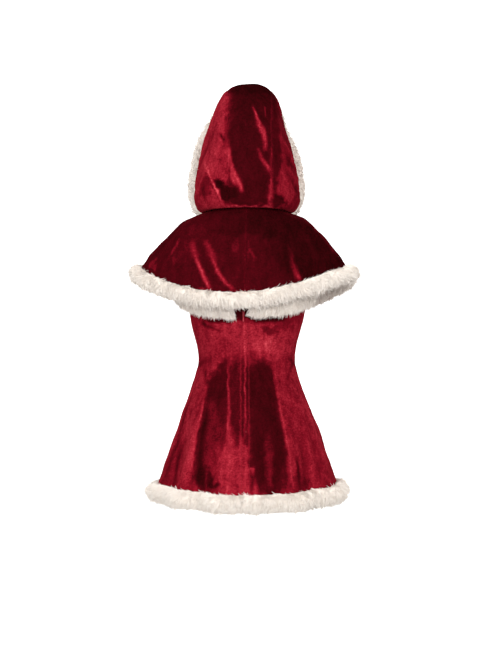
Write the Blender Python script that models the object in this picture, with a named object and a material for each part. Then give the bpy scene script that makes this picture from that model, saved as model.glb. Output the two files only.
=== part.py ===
"""Christmas dress costume: a strapless velvet mini dress with a plush top band and hem,
and a hooded capelet with a plush hem and a plush-edged face opening.

Worn form with no wearer. Metres, +Z up. The wearer's front faces -Y, so +X is the wearer's left.
The origin is on the wearer's axis at the waist, which is where the dress is held.
Angles run round that axis: 0 at centre back, positive towards the wearer's left.
"""

import math
from collections import namedtuple

import bmesh
import bpy
from mathutils import Matrix, Vector

WALL = 0.0020
SEAM_GAP = 0.0003
FULL_TURN = 2 * math.pi

# Dress: the height of its edges from the waist. The top rises and the hem lifts to the front.
HEM_SIDE_HEIGHT = -0.288
HEM_BACK_HEIGHT = -0.302
HEM_FRONT_HEIGHT = -0.296
TOP_BACK_HEIGHT = 0.140
TOP_FRONT_HEIGHT = 0.210
ROUNDNESS = 2.25

DressRow = namedtuple("DressRow", "height half_width back_depth front_depth shift")
DRESS_ROWS = (
    DressRow(-0.345, 0.2350, 0.176, 0.168, -0.0024),
    DressRow(-0.285, 0.2115, 0.164, 0.152, -0.0024),
    DressRow(-0.226, 0.1900, 0.151, 0.137, -0.0024),
    DressRow(-0.168, 0.1705, 0.138, 0.121, -0.0022),
    DressRow(-0.110, 0.1505, 0.121, 0.106, -0.0010),
    DressRow(-0.053, 0.1286, 0.099, 0.095, 0.0010),
    DressRow(-0.024, 0.1186, 0.0845, 0.090, 0.0005),
    DressRow(0.004, 0.1128, 0.0760, 0.087, 0.0),
    DressRow(0.034, 0.1160, 0.0755, 0.089, 0.0004),
    DressRow(0.062, 0.1245, 0.0800, 0.095, 0.0004),
    DressRow(0.091, 0.1318, 0.0840, 0.100, 0.0004),
    DressRow(0.130, 0.1385, 0.0885, 0.104, 0.0),
    DressRow(0.175, 0.1420, 0.0920, 0.104, 0.0),
    DressRow(0.240, 0.1420, 0.0930, 0.098, 0.0),
)

# Bust: the side front seams are shaped over two soft rounds.
BUST_ANGLE = math.radians(146)
BUST_HEIGHT = 0.158
BUST_RISE = 0.024
BUST_SPREAD = math.radians(25)
BUST_TALL = 0.052

# Seams, as the distance from the centre plane at a few heights.
SeamPoint = namedtuple("SeamPoint", "height across")
BACK_SEAM = (
    SeamPoint(-0.345, 0.006),
    SeamPoint(-0.130, 0.004),
    SeamPoint(0.0, 0.005),
    SeamPoint(0.24, 0.012),
)
LEFT_BACK_SEAM = (
    SeamPoint(-0.345, 0.074),
    SeamPoint(-0.285, 0.064),
    SeamPoint(-0.130, 0.046),
    SeamPoint(0.0, 0.046),
    SeamPoint(0.24, 0.060),
)
RIGHT_BACK_SEAM = (
    SeamPoint(-0.345, -0.118),
    SeamPoint(-0.285, -0.106),
    SeamPoint(-0.130, -0.080),
    SeamPoint(0.0, -0.060),
    SeamPoint(0.24, -0.070),
)
FRONT_SEAM = (
    SeamPoint(-0.345, 0.100),
    SeamPoint(-0.285, 0.092),
    SeamPoint(-0.130, 0.070),
    SeamPoint(0.0, 0.052),
    SeamPoint(0.158, 0.072),
    SeamPoint(0.24, 0.080),
)

# Skirt flutes: where each meets the hem, its half width and how far it lifts off the round there.
Flute = namedtuple("Flute", "degrees half_width lift")
FLUTE_TOP = -0.07
FLUTES = (
    Flute(2, 7, -0.005),
    Flute(20, 8, 0.006),
    Flute(34, 7, -0.006),
    Flute(48, 7, 0.009),
    Flute(61, 6, -0.006),
    Flute(76, 8, 0.005),
    Flute(104, 9, -0.006),
    Flute(124, 9, 0.007),
    Flute(146, 9, -0.006),
    Flute(168, 10, 0.005),
    Flute(-18, 8, 0.003),
    Flute(-35, 8, 0.008),
    Flute(-50, 7, -0.007),
    Flute(-66, 8, 0.006),
    Flute(-82, 7, -0.004),
    Flute(-106, 10, 0.006),
    Flute(-128, 9, -0.006),
    Flute(-150, 10, 0.007),
    Flute(-172, 8, -0.004),
)

# Cape: rings from the neckline to the hem edge, at the side, the back and the front.
CapeRow = namedtuple("CapeRow", "share side side_height back back_height front front_height")
CAPE_ROWS = (
    CapeRow(0.00, 0.0620, 0.3670, 0.0620, 0.3880, 0.0580, 0.3460),
    CapeRow(0.12, 0.0900, 0.3595, 0.0840, 0.3650, 0.0800, 0.3320),
    CapeRow(0.25, 0.1190, 0.3505, 0.1010, 0.3380, 0.1040, 0.3130),
    CapeRow(0.40, 0.1520, 0.3355, 0.1150, 0.3030, 0.1290, 0.2840),
    CapeRow(0.60, 0.1900, 0.2976, 0.1255, 0.2560, 0.1520, 0.2400),
    CapeRow(0.80, 0.2205, 0.2625, 0.1295, 0.2090, 0.1630, 0.1960),
    CapeRow(1.00, 0.2460, 0.2265, 0.1311, 0.1630, 0.1670, 0.1520),
    CapeRow(1.16, 0.2660, 0.1990, 0.1316, 0.1280, 0.1690, 0.1190),
)
CAPE_SHIFT = 0.007
CAPE_BACK_TILT = -0.06
CAPE_FRONT_TILT = 0.12
CAPE_FRONT_PART = 0.0045
CAPE_FLUTES = (
    Flute(4, 8, 0.003),
    Flute(22, 9, 0.005),
    Flute(62, 10, 0.005),
    Flute(108, 11, -0.005),
    Flute(150, 10, 0.004),
    Flute(-33, 9, 0.006),
    Flute(-68, 10, 0.004),
    Flute(-112, 11, 0.006),
    Flute(-148, 10, -0.004),
)
CAPE_COLUMNS = 24

# Hood: rings from the neckline to the crown. Its heights differ at the side, the back and the front.
HoodRow = namedtuple("HoodRow", "side_height back_height front_height half_width back front")
HOOD_ROWS = (
    HoodRow(0.3700, 0.3925, 0.3500, 0.0620, 0.0620, 0.0580),
    HoodRow(0.3650, 0.3770, 0.3530, 0.0880, 0.0860, 0.0740),
    HoodRow(0.3600, 0.3720, 0.3600, 0.1090, 0.1040, 0.0900),
    HoodRow(0.3710, 0.3860, 0.3740, 0.1205, 0.1150, 0.1130),
    HoodRow(0.3960, 0.4060, 0.3960, 0.1250, 0.1200, 0.1500),
    HoodRow(0.4280, 0.4340, 0.4280, 0.1222, 0.1210, 0.2000),
    HoodRow(0.4600, 0.4630, 0.4610, 0.1163, 0.1205, 0.2400),
    HoodRow(0.4920, 0.4920, 0.4920, 0.1098, 0.1190, 0.2500),
    HoodRow(0.5210, 0.5210, 0.5210, 0.1020, 0.1160, 0.2500),
    HoodRow(0.5500, 0.5500, 0.5480, 0.0935, 0.1110, 0.2500),
    HoodRow(0.5780, 0.5780, 0.5740, 0.0850, 0.1030, 0.2450),
    HoodRow(0.6070, 0.6060, 0.6000, 0.0775, 0.0900, 0.2350),
    HoodRow(0.6330, 0.6290, 0.6230, 0.0655, 0.0720, 0.2150),
    HoodRow(0.6500, 0.6460, 0.6400, 0.0510, 0.0530, 0.1850),
    HoodRow(0.6610, 0.6590, 0.6540, 0.0340, 0.0340, 0.1400),
    HoodRow(0.6655, 0.6655, 0.6655, 0.0, 0.0, 0.0),
)
HOOD_ROUNDNESS = 2.3
HOOD_SEAM_LEFT = 0.045
HOOD_SEAM_RIGHT = -0.0565
HOOD_REACH = 0.2
CHIN_HEIGHT = 0.42
# The face opening is a leaning plane: a point on it and the way it faces.
FACE_POINT = Vector((0.0, -0.094, 0.470))
FACE_NORMAL = Vector((0.0, -1.0, -0.13)).normalized()

# Plush trims: half their height along the cloth, half their thickness, and how far they sit outwards.
Trim = namedtuple("Trim", "half_height half_thick outward")
HEM_TRIM = Trim(0.0240, 0.0215, 0.001)
CAPE_TRIM = Trim(0.0205, 0.0200, 0.0)
HOOD_TRIM = Trim(0.0185, 0.0190, 0.012)
EDGE_GAP = 0.0008
# The hood's roll turns outwards at the cheeks, and less at the chin and over the forehead.
FLARE_CHIN, FLARE_CHEEK, FLARE_TEMPLE, FLARE_BROW = 0.352, 0.385, 0.50, 0.59
TRIM_SIDES = 10
TOP_BAND_HEIGHT = 0.046
TOP_BAND_OVER = 0.004
TOP_BAND_THICK = 0.030
BAND_FULLER_LEFT = 0.18
BAND_FROM_LEFT = 0.0175
BAND_FROM_RIGHT = 0.0075

# Centre-back zip, inside the closed edges: where it ends, its tapes and its slider.
# Above the slider the edges part in a narrow V.
ZIP_ROWS = 10.4
ZIP_PART_HEIGHT = 0.086
ZIP_PART_WIDTH = 0.0080
TAPE_WIDTH = 0.0105
TAPE_THICK = 0.0010
SLIDER_HEIGHT = 0.1150
SLIDER_WIDTH = 0.0064
SLIDER_LENGTH = 0.0090
SLIDER_THICK = 0.0020
BRIDGE_RADIUS = 0.0006
BRIDGE_LENGTH = 0.0064
BRIDGE_REACH = 0.0048
PULL_WIRE = 0.0006
PULL_EYE_WIDTH = 0.0017
PULL_EYE_HEIGHT = 0.0022
PULL_OFF_CLOTH = 0.0022
PULL_DROP = 0.00185
PULL_WIDTH = 0.0032
PULL_LENGTH = 0.0125
PULL_THICK = 0.0014

# Hook and eye that close the cape at the neck.
HOOK_WIRE = 0.0005
HOOK_OFF_CLOTH = 0.0023
HOOK_REACH = 0.0065
EYE_HALF_WIDTH = 0.0020
HOOK_SHARE = 0.06

VELVET = ("velvet", (0.30, 0.012, 0.025, 1.0), 0.75, 0.0)
PLUSH = ("plush", (0.88, 0.84, 0.78, 1.0), 0.95, 0.0)
ZIP_CLOTH = ("zip_cloth", (0.20, 0.010, 0.018, 1.0), 0.85, 0.0)
ZIP_METAL = ("zip_metal", (0.45, 0.030, 0.050, 1.0), 0.35, 0.6)
HOOK_METAL = ("hook_metal", (0.55, 0.55, 0.56, 1.0), 0.30, 1.0)


def clear_scene():
    """Removes what the startup scene holds."""
    for item in list(bpy.data.objects):
        bpy.data.objects.remove(item)


def material(look):
    """The Principled material of that look, made once."""
    name, colour, roughness, metallic = look
    found = bpy.data.materials.get(name)
    if found:
        return found
    made = bpy.data.materials.new(name)
    made.use_nodes = True
    shader = made.node_tree.nodes["Principled BSDF"]
    shader.inputs["Base Color"].default_value = colour
    shader.inputs["Roughness"].default_value = roughness
    shader.inputs["Metallic"].default_value = metallic
    return made


def add_piece(name, bm, look, wall=0.0):
    """An object from a bmesh, with its faces outwards, smooth shading and, for cloth, a wall."""
    bmesh.ops.recalc_face_normals(bm, faces=bm.faces)
    mesh = bpy.data.meshes.new(name)
    bm.to_mesh(mesh)
    bm.free()
    mesh.shade_smooth()
    mesh.set_sharp_from_angle(angle=math.radians(50))
    piece = bpy.data.objects.new(name, mesh)
    bpy.context.scene.collection.objects.link(piece)
    mesh.materials.append(material(look))
    if wall:
        thicken = piece.modifiers.new("Wall", "SOLIDIFY")
        thicken.thickness = wall
        thicken.offset = 0.0
        thicken.use_even_offset = False
    return piece


def row_at(rows, key, value):
    """The table's row at that key value, on a smooth curve through the rows."""
    keys = [getattr(row, key) for row in rows]
    step = 1
    while step < len(keys) - 1 and value > keys[step]:
        step += 1
    low, high = rows[step - 1], rows[step]
    span = keys[step] - keys[step - 1]
    share = (value - keys[step - 1]) / span
    before = rows[max(step - 2, 0)]
    after = rows[min(step + 1, len(rows) - 1)]
    values = []
    for column in range(len(low)):
        here, there = low[column], high[column]
        slope_in = slope_between(before, high, column, key) * span
        slope_out = slope_between(low, after, column, key) * span
        values.append(hermite(here, there, slope_in, slope_out, share))
    return type(low)(*values)


def slope_between(first, last, column, key):
    """How fast a column changes from one row to another."""
    run = getattr(last, key) - getattr(first, key)
    return (last[column] - first[column]) / run if run else 0.0


def hermite(start, end, slope_in, slope_out, share):
    """A cubic from start to end with those slopes."""
    square, cube = share**2, share**3
    return (
        start * (2 * cube - 3 * square + 1)
        + slope_in * (cube - 2 * square + share)
        + end * (3 * square - 2 * cube)
        + slope_out * (cube - square)
    )


def blended(low, high, share):
    """From low to high, with a soft start and end."""
    share = min(max(share, 0.0), 1.0)
    return low + (high - low) * share * share * (3 - 2 * share)


def angle_from(angle, other):
    """The signed angle from other to angle, the short way round."""
    return (angle - other + math.pi) % FULL_TURN - math.pi


def round_radius(angle, half_width, depth, roundness):
    """The distance from the axis of a rounded oval, at an angle from the back."""
    across = abs(math.sin(angle)) / half_width
    along = abs(math.cos(angle)) / depth
    return (across**roundness + along**roundness) ** (-1 / roundness)


def flute_lift(flutes, angle):
    """How far a cloth's flutes lift it off its round, where they are full."""
    total = 0.0
    for flute in flutes:
        offset = angle_from(angle, math.radians(flute.degrees)) / math.radians(flute.half_width)
        total += flute.lift * math.exp(-offset * offset)
    return total


def bust_lift(angle, height):
    """How far the bust shaping lifts the front."""
    across = angle_from(abs(angle_from(angle, 0.0)), BUST_ANGLE) / BUST_SPREAD
    tall = (height - BUST_HEIGHT) / BUST_TALL
    return BUST_RISE * math.exp(-across * across - tall * tall)


def dress_point(angle, height):
    """A point on the middle of the dress's cloth."""
    row = row_at(DRESS_ROWS, "height", height)
    depth = row.back_depth if math.cos(angle) >= 0 else row.front_depth
    radius = round_radius(angle, row.half_width, depth, ROUNDNESS)
    fall = min(max((FLUTE_TOP - height) / (FLUTE_TOP - HEM_SIDE_HEIGHT), 0.0), 1.25)
    radius += flute_lift(FLUTES, angle) * fall**1.3 + bust_lift(angle, height)
    across = row.shift + radius * math.sin(angle)
    return Vector((across, radius * math.cos(angle), height))


def hem_height(angle):
    """The height of the dress's hem."""
    middle = HEM_BACK_HEIGHT if math.cos(angle) >= 0 else HEM_FRONT_HEIGHT
    return HEM_SIDE_HEIGHT + (middle - HEM_SIDE_HEIGHT) * math.cos(angle) ** 2


def top_height(angle):
    """The height of the dress's top edge."""
    return blended(TOP_BACK_HEIGHT, TOP_FRONT_HEIGHT, (1 - math.cos(angle)) / 2)


def seam_angle(seam, height, front=False):
    """The angle of a seam at a height, from its distance to the centre plane."""
    row = row_at(DRESS_ROWS, "height", height)
    across = row_at(seam, "height", height).across
    depth = row.front_depth if front else row.back_depth
    share = min(abs(across) / row.half_width, 1.0)
    along = depth * (1 - share**ROUNDNESS) ** (1 / ROUNDNESS)
    return math.atan2(across, -along if front else along)


def side_seam(sign):
    """A side seam, straight down the side."""
    return lambda height: sign * math.pi / 2


def back_seam(seam):
    """A seam on the back half."""
    return lambda height: seam_angle(seam, height)


def front_seam(sign):
    """A side front seam, on the wearer's left where sign is 1."""

    def found(height):
        angle = seam_angle(FRONT_SEAM, height, front=True)
        return angle if sign > 0 else FULL_TURN - angle

    return found


def surface_frame(point_at, along, across, step_along, step_across):
    """(point, outward normal, way down) of a surface, from its near points."""
    here = point_at(along, across)
    down = point_at(along, across + step_across) - point_at(along, across - step_across)
    round_it = point_at(along + step_along, across) - point_at(along - step_along, across)
    down.normalize()
    normal = down.cross(round_it)
    normal.normalize()
    if normal.x * here.x + normal.y * here.y < 0:
        normal.negate()
    return here, normal, down


def walled_grid(columns, rows, place, wall):
    """A cloth of that thickness. place(column, row) gives a point on its middle and the way out."""
    bm = bmesh.new()
    sides = []
    for side in (0.5, -0.5):
        spots = [[place(c, r) for c in range(columns + 1)] for r in range(rows + 1)]
        sides.append(
            [[bm.verts.new(point + out * wall * side) for point, out in spots_row] for spots_row in spots]
        )
    for grid in sides:
        for r in range(rows):
            for c in range(columns):
                bm.faces.new((grid[r][c], grid[r][c + 1], grid[r + 1][c + 1], grid[r + 1][c]))
    rim = [(0, c) for c in range(columns)] + [(r, columns) for r in range(rows)]
    rim += [(rows, c) for c in range(columns, 0, -1)] + [(r, 0) for r in range(rows, 0, -1)]
    for first, second in zip(rim, rim[1:] + rim[:1]):
        outer, inner = sides
        bm.faces.new(
            (
                outer[first[0]][first[1]],
                outer[second[0]][second[1]],
                inner[second[0]][second[1]],
                inner[first[0]][first[1]],
            )
        )
    return bm


def mapped_grid(columns, rows, place):
    """A grid of cells whose points are place(u, v), with u and v from 0 to 1."""
    bm = bmesh.new()
    bmesh.ops.create_grid(bm, x_segments=columns, y_segments=rows, size=0.5)
    for vert in bm.verts:
        vert.co = place(vert.co.x + 0.5, vert.co.y + 0.5)
    return bm


def open_back_edge(sign):
    """The centre-back seam, which parts in a narrow V above the zip's slider."""

    def found(height):
        share = (height - ZIP_PART_HEIGHT) / (TOP_BACK_HEIGHT - ZIP_PART_HEIGHT)
        parted = blended(0.0, ZIP_PART_WIDTH / 2, share)
        depth = row_at(DRESS_ROWS, "height", height).back_depth
        return seam_angle(BACK_SEAM, height) + sign * parted / depth

    return found


Panel = namedtuple("Panel", "name start end columns")
PANELS = (
    Panel("dress_back_left", open_back_edge(1), back_seam(LEFT_BACK_SEAM), 6),
    Panel("dress_side_back_left", back_seam(LEFT_BACK_SEAM), side_seam(1), 11),
    Panel("dress_side_front_left", side_seam(1), front_seam(1), 11),
    Panel("dress_front", front_seam(1), front_seam(-1), 12),
    Panel("dress_side_front_right", front_seam(-1), lambda height: 1.5 * math.pi, 11),
    Panel("dress_side_back_right", side_seam(-1), back_seam(RIGHT_BACK_SEAM), 10),
    Panel("dress_back_right", back_seam(RIGHT_BACK_SEAM), open_back_edge(-1), 8),
)
BAND_ROWS = 3
ROWS_DOWN = 14


def panel_spot(panel, column, row):
    """(angle, height) on a panel, at a column and at a row counted down from the top edge."""
    angle = (panel.start(0.0) + panel.end(0.0)) / 2
    height = 0.0
    for _ in range(5):
        band_foot = top_height(angle) + TOP_BAND_OVER - TOP_BAND_HEIGHT
        if row <= BAND_ROWS:
            height = top_height(angle) + (band_foot - top_height(angle)) * row / BAND_ROWS
        else:
            share = (row - BAND_ROWS) / (ROWS_DOWN - BAND_ROWS)
            height = band_foot + share * (hem_height(angle) - band_foot)
        start, end = panel.start(height), panel.end(height)
        angle = start + (end - start) * column / panel.columns
    return angle, height


def panel_frame(panel, column, row):
    """(point, way out) on a panel's middle, half a seam's gap inside its edges."""
    angle, height = panel_spot(panel, column, row)
    inset = SEAM_GAP / 2 / dress_point(angle, height).xy.length
    angle += inset * (1 - 2 * column / panel.columns)
    return surface_frame(dress_point, angle, height, 0.01, -0.004)[:2]


def panel_point(panel, column, row):
    """A point on the middle of a panel's cloth."""
    return panel_frame(panel, column, row)[0]


def flat_point(panel, column, row, outward):
    """A point that far off a panel's flat faces, so a piece laid on it keeps its distance."""
    column = min(max(column, 0.0), panel.columns)
    left = min(int(column), panel.columns - 1)
    above = min(int(row), ROWS_DOWN - 1)
    across, down = column - left, row - above
    corner = [
        panel_point(panel, left + i, above + j) * (across if i else 1 - across)
        for j in (0, 1)
        for i in (0, 1)
    ]
    point = (corner[0] + corner[1]) * (1 - down) + (corner[2] + corner[3]) * down
    angle, height = panel_spot(panel, column, row)
    normal = surface_frame(dress_point, angle, height, 0.01, -0.004)[1]
    return point + normal * outward


def make_dress():
    """The seven panels of the dress, round from the centre back."""
    for panel in PANELS:

        def place(column, row, panel=panel):
            return panel_frame(panel, column, row)

        add_piece(panel.name, walled_grid(panel.columns, ROWS_DOWN, place, WALL), VELVET)


def tube(name, sections, look, closed):
    """A closed solid through sections, each a list of points round its outline."""
    bm = bmesh.new()
    loops = []
    for section in sections:
        verts = [bm.verts.new(point) for point in section]
        edges = [bm.edges.new((verts[i - 1], verts[i])) for i in range(len(verts))]
        loops.append((verts, edges))
    for first, second in zip(loops, loops[1:] + loops[:1] if closed else loops[1:]):
        bmesh.ops.bridge_loops(bm, edges=first[1] + second[1])
    if not closed:
        for verts, _ in (loops[0], loops[-1]):
            bm.faces.new(verts)
    return add_piece(name, bm, look)


def lump(turn, strength, seed):
    """A plush trim's slow swelling and thinning along its length, near 1."""
    waves = math.sin(7 * turn + seed) + 0.7 * math.sin(12 * turn + 2.1 * seed)
    return 1 + strength * waves / 1.7


def oval_section(centre, normal, down, trim, scale):
    """A plush roll's outline round its centre: half its height along the cloth, half across."""
    points = []
    for side in range(TRIM_SIDES):
        turn = FULL_TURN * side / TRIM_SIDES
        along = -math.cos(turn) * trim.half_height * scale
        out = math.sin(turn) * trim.half_thick * scale
        points.append(centre + down * along + normal * out)
    return points


def roll_centre(edge, normal, down, trim):
    """The middle of a roll whose crown meets the cloth's edge."""
    return edge + down * (trim.half_height + SEAM_GAP) + normal * trim.outward


def make_hem_trim():
    """The plush roll round the skirt's hem, pinched a little where it is joined at the back."""
    sections = []
    for panel in PANELS:
        for column in range(panel.columns):
            angle, height = panel_spot(panel, column, ROWS_DOWN)
            edge, normal, down = surface_frame(dress_point, angle, height, 0.01, -0.004)
            join = math.exp(-((angle_from(angle, 0.03) / 0.09) ** 2))
            scale = lump(angle, 0.04, 1.3) * (1 - 0.10 * join)
            edge += down * HEM_TRIM.half_height * (scale - 1)
            centre = roll_centre(edge, normal, down, HEM_TRIM)
            sections.append(oval_section(centre, normal, down, HEM_TRIM, scale))
    return tube("dress_hem_trim", sections, PLUSH, closed=True)


def band_section(panel, column, swell):
    """The band's outline at one place round the bodice: up its back, then down over its front."""
    inside = WALL / 2 + SEAM_GAP
    section = [flat_point(panel, column, row, inside) for row in range(BAND_ROWS, -1, -1)]
    angle = panel_spot(panel, column, 0)[0]
    rows = 8
    for row in range(rows + 1):
        turn = math.pi * row / rows
        height = top_height(angle) + TOP_BAND_OVER - TOP_BAND_HEIGHT * (1 - math.cos(turn)) / 2
        point, normal, _ = surface_frame(dress_point, angle, height, 0.01, -0.004)
        out = 0.0012 + TOP_BAND_THICK * math.sin(turn) ** 0.8 * swell
        if 0 < row < rows:
            section.append(point + normal * (inside + out))
    return section


def make_top_band():
    """The plush band sewn on the outside of the bodice's top, parted at the centre back."""
    places = []
    for panel in PANELS:
        places += [(panel, column) for column in range(panel.columns)]
    first, last = PANELS[0], PANELS[-1]
    width_left = (panel_point(first, first.columns, 1) - panel_point(first, 0, 1)).length
    width_right = (panel_point(last, last.columns, 1) - panel_point(last, 0, 1)).length
    from_left = BAND_FROM_LEFT / width_left * first.columns
    to_right = last.columns * (1 - BAND_FROM_RIGHT / width_right)
    places = [(first, from_left), (first, from_left + 0.45)] + [
        (panel, column)
        for panel, column in places
        if not (panel is first and column < from_left + 0.7)
        and not (panel is last and column > to_right - 0.7)
    ]
    places += [(last, to_right - 0.45), (last, to_right)]
    sections = []
    for index, (panel, column) in enumerate(places):
        from_end = min(index, len(places) - 1 - index)
        angle = panel_spot(panel, column, 0)[0]
        swell = (0.55, 0.86, 1.0)[min(from_end, 2)] * lump(angle, 0.05, 0.4)
        swell *= 1 + BAND_FULLER_LEFT * math.sin(angle)
        sections.append(band_section(panel, column, swell))
    return tube("dress_top_trim", sections, PLUSH, closed=False)


def cape_point(angle, share):
    """A point on the middle of the cape's cloth, share 0 at the neck and 1 at the hem's edge."""
    row = row_at(CAPE_ROWS, "share", share)
    sine, cosine = math.sin(angle), math.cos(angle)
    depth, height = (row.back, row.back_height) if cosine >= 0 else (row.front, row.front_height)
    height = row.side_height * sine**2 + height * cosine**2
    tilt = CAPE_BACK_TILT if cosine >= 0 else CAPE_FRONT_TILT
    height += tilt * row.side * sine * abs(cosine) * share
    lift = flute_lift(CAPE_FLUTES, angle) * max(share, 0.0) ** 1.6
    across = (row.side + lift) * sine + CAPE_SHIFT * share
    return Vector((across, (depth + lift) * cosine, height))


def cape_angle(sign, column, share):
    """The angle of a column of one half of the cape, from its back seam to its front edge."""
    row = row_at(CAPE_ROWS, "share", share)
    start = SEAM_GAP / 2 / row.side
    end = math.pi - CAPE_FRONT_PART * (1 + share) / row.side
    return sign * (start + (end - start) * column / CAPE_COLUMNS)


def cape_panel(name, sign, rows=11):
    """One half of the cape, from the centre-back seam to the front edge."""

    def place(column, row):
        share = row / rows
        return surface_frame(cape_point, cape_angle(sign, column, share), share, 0.01, 0.01)[:2]

    return add_piece(name, walled_grid(CAPE_COLUMNS, rows, place, WALL), VELVET)


def make_cape_trim():
    """The plush roll round the cape's hem, from one front edge to the other, with rounded ends."""
    sections = []
    ends = (0.45, 0.85)
    stations = 2 * CAPE_COLUMNS
    for station in range(stations + 1):
        column = station - CAPE_COLUMNS
        angle = cape_angle(math.copysign(1, column), abs(column), 1.0) if column else 0.0
        edge, normal, down = surface_frame(cape_point, angle, 1.0, 0.01, 0.01)
        from_end = min(station, stations - station)
        scale = lump(angle, 0.05, 2.2) * (ends[from_end] if from_end < len(ends) else 1.0)
        edge += down * CAPE_TRIM.half_height * (scale - 1)
        centre = roll_centre(edge, normal, down, CAPE_TRIM)
        sections.append(oval_section(centre, normal, down, CAPE_TRIM, scale))
    return tube("cape_hem_trim", sections, PLUSH, closed=False)


def hood_point(angle, share):
    """A point on the middle of the hood's cloth, share 0 at the neck and 1 at the crown."""
    place = share * (len(HOOD_ROWS) - 1)
    step = min(int(place), len(HOOD_ROWS) - 2)
    low, high = HOOD_ROWS[step], HOOD_ROWS[step + 1]
    before = HOOD_ROWS[max(step - 1, 0)]
    after = HOOD_ROWS[min(step + 2, len(HOOD_ROWS) - 1)]
    row = HoodRow(
        *(
            hermite(low[k], high[k], (high[k] - before[k]) / 2, (after[k] - low[k]) / 2, place - step)
            for k in range(len(low))
        )
    )
    sine, cosine = math.sin(angle), math.cos(angle)
    depth, height = (row.back, row.back_height) if cosine >= 0 else (row.front, row.front_height)
    height = row.side_height * sine**2 + height * cosine**2
    if row.half_width < 1e-6 or depth < 1e-6:
        return Vector((0.0, 0.0, height))
    radius = round_radius(angle, row.half_width, depth, HOOD_ROUNDNESS)
    return Vector((radius * sine, radius * cosine, height))


def hood_shell(columns=40, rows=20):
    """The whole hood as one thin surface, cut away at the face opening."""

    def place(u, v):
        return hood_point(FULL_TURN * u - math.pi, v)

    bm = mapped_grid(columns, rows, place)
    bmesh.ops.remove_doubles(bm, verts=bm.verts, dist=1e-5)
    cut_at(bm, FACE_POINT, FACE_NORMAL, clear=True)
    return bm


def cut_at(bm, point, normal, clear=False):
    """Cuts a surface by a plane, and clears what lies on the side the normal points to."""
    everything = bm.verts[:] + bm.edges[:] + bm.faces[:]
    bmesh.ops.bisect_plane(
        bm, geom=everything, dist=1e-6, plane_co=point, plane_no=normal, clear_outer=clear
    )


def hood_panel(name, low, high):
    """The hood between two upright planes; under the chin the side panels reach the centre."""
    bm = hood_shell()
    chin_low = SEAM_GAP / 2 if low > 0 else low
    chin_high = -SEAM_GAP / 2 if high < 0 else high
    for across in {low, high, chin_low, chin_high}:
        cut_at(bm, Vector((across, 0, 0)), Vector((1, 0, 0)))
    outside = []
    for face in bm.faces:
        centre = face.calc_center_median()
        under_chin = centre.y < 0 and centre.z < CHIN_HEIGHT
        if under_chin and low < 0 < high:
            outside.append(face)
        elif under_chin and not chin_low < centre.x < chin_high:
            outside.append(face)
        elif not under_chin and not low < centre.x < high:
            outside.append(face)
    bmesh.ops.delete(bm, geom=outside, context="FACES")
    bmesh.ops.dissolve_degenerate(bm, edges=bm.edges, dist=0.0004)
    add_piece(name, bm, VELVET, WALL)


def make_hood():
    """The hood's two sides and the long panel between them."""
    half = SEAM_GAP / 2
    hood_panel("hood_left", HOOD_SEAM_LEFT + half, HOOD_REACH)
    hood_panel("hood_centre", HOOD_SEAM_RIGHT + half, HOOD_SEAM_LEFT - half)
    hood_panel("hood_right", -HOOD_REACH, HOOD_SEAM_RIGHT - half)


def face_edge():
    """The points of the hood's cut edge round the face, in order from the chin's right side."""
    bm = hood_shell()
    ends = {}
    for edge in bm.edges:
        if len(edge.link_faces) == 1 and all(near_plane(vert.co) for vert in edge.verts):
            first, second = edge.verts
            ends.setdefault(first, []).append(second)
            ends.setdefault(second, []).append(first)
    start = min(ends, key=lambda vert: vert.co.z + (0 if vert.co.x < 0 else 1))
    chain, last = [start], None
    following = min(ends[start], key=lambda vert: vert.co.x)
    while following is not start:
        chain.append(following)
        last, here = chain[-2], following
        following = next(vert for vert in ends[here] if vert is not last)
    points = [vert.co.copy() for vert in chain]
    bm.free()
    return points


def near_plane(point):
    """Whether a point lies on the face opening's plane."""
    return abs((point - FACE_POINT).dot(FACE_NORMAL)) < 1e-5


def evenly(points, count):
    """That many points, evenly spaced along a line of points."""
    lengths = [0.0]
    for first, second in zip(points, points[1:]):
        lengths.append(lengths[-1] + (second - first).length)
    spaced, step = [], 0
    for index in range(count):
        wanted = lengths[-1] * index / (count - 1)
        while step < len(lengths) - 2 and lengths[step + 1] < wanted:
            step += 1
        share = (wanted - lengths[step]) / (lengths[step + 1] - lengths[step])
        spaced.append(points[step].lerp(points[step + 1], share))
    return spaced


def make_hood_trim(stations=52):
    """The plush roll round the face, from one side of the chin to the other."""
    points = evenly(face_edge(), stations)
    middle = sum(points, Vector()) / len(points)
    ends = (0.45, 0.85)
    sections = []
    for station, point in enumerate(points):
        before = points[max(station - 1, 0)]
        after = points[min(station + 1, stations - 1)]
        outward = (after - before).cross(FACE_NORMAL).normalized()
        if outward.dot(point - middle) < 0:
            outward.negate()
        from_end = min(station, stations - 1 - station)
        scale = lump(6.0 * station / stations, 0.05, 0.9)
        scale *= ends[from_end] if from_end < len(ends) else 1.0
        flare = blended(1.0, 0.2, (point.z - FLARE_TEMPLE) / (FLARE_BROW - FLARE_TEMPLE))
        flare *= blended(0.0, 1.0, (point.z - FLARE_CHIN) / (FLARE_CHEEK - FLARE_CHIN))
        aside = HOOD_TRIM.outward * flare
        lean = math.sqrt(1 - (0.85 * aside / (HOOD_TRIM.half_thick * scale)) ** 2)
        forward = HOOD_TRIM.half_height * scale * lean + EDGE_GAP
        centre = point + FACE_NORMAL * forward + outward * aside
        sections.append(oval_section(centre, outward, FACE_NORMAL, HOOD_TRIM, scale))
    return tube("hood_trim", sections, PLUSH, closed=False)


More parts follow.
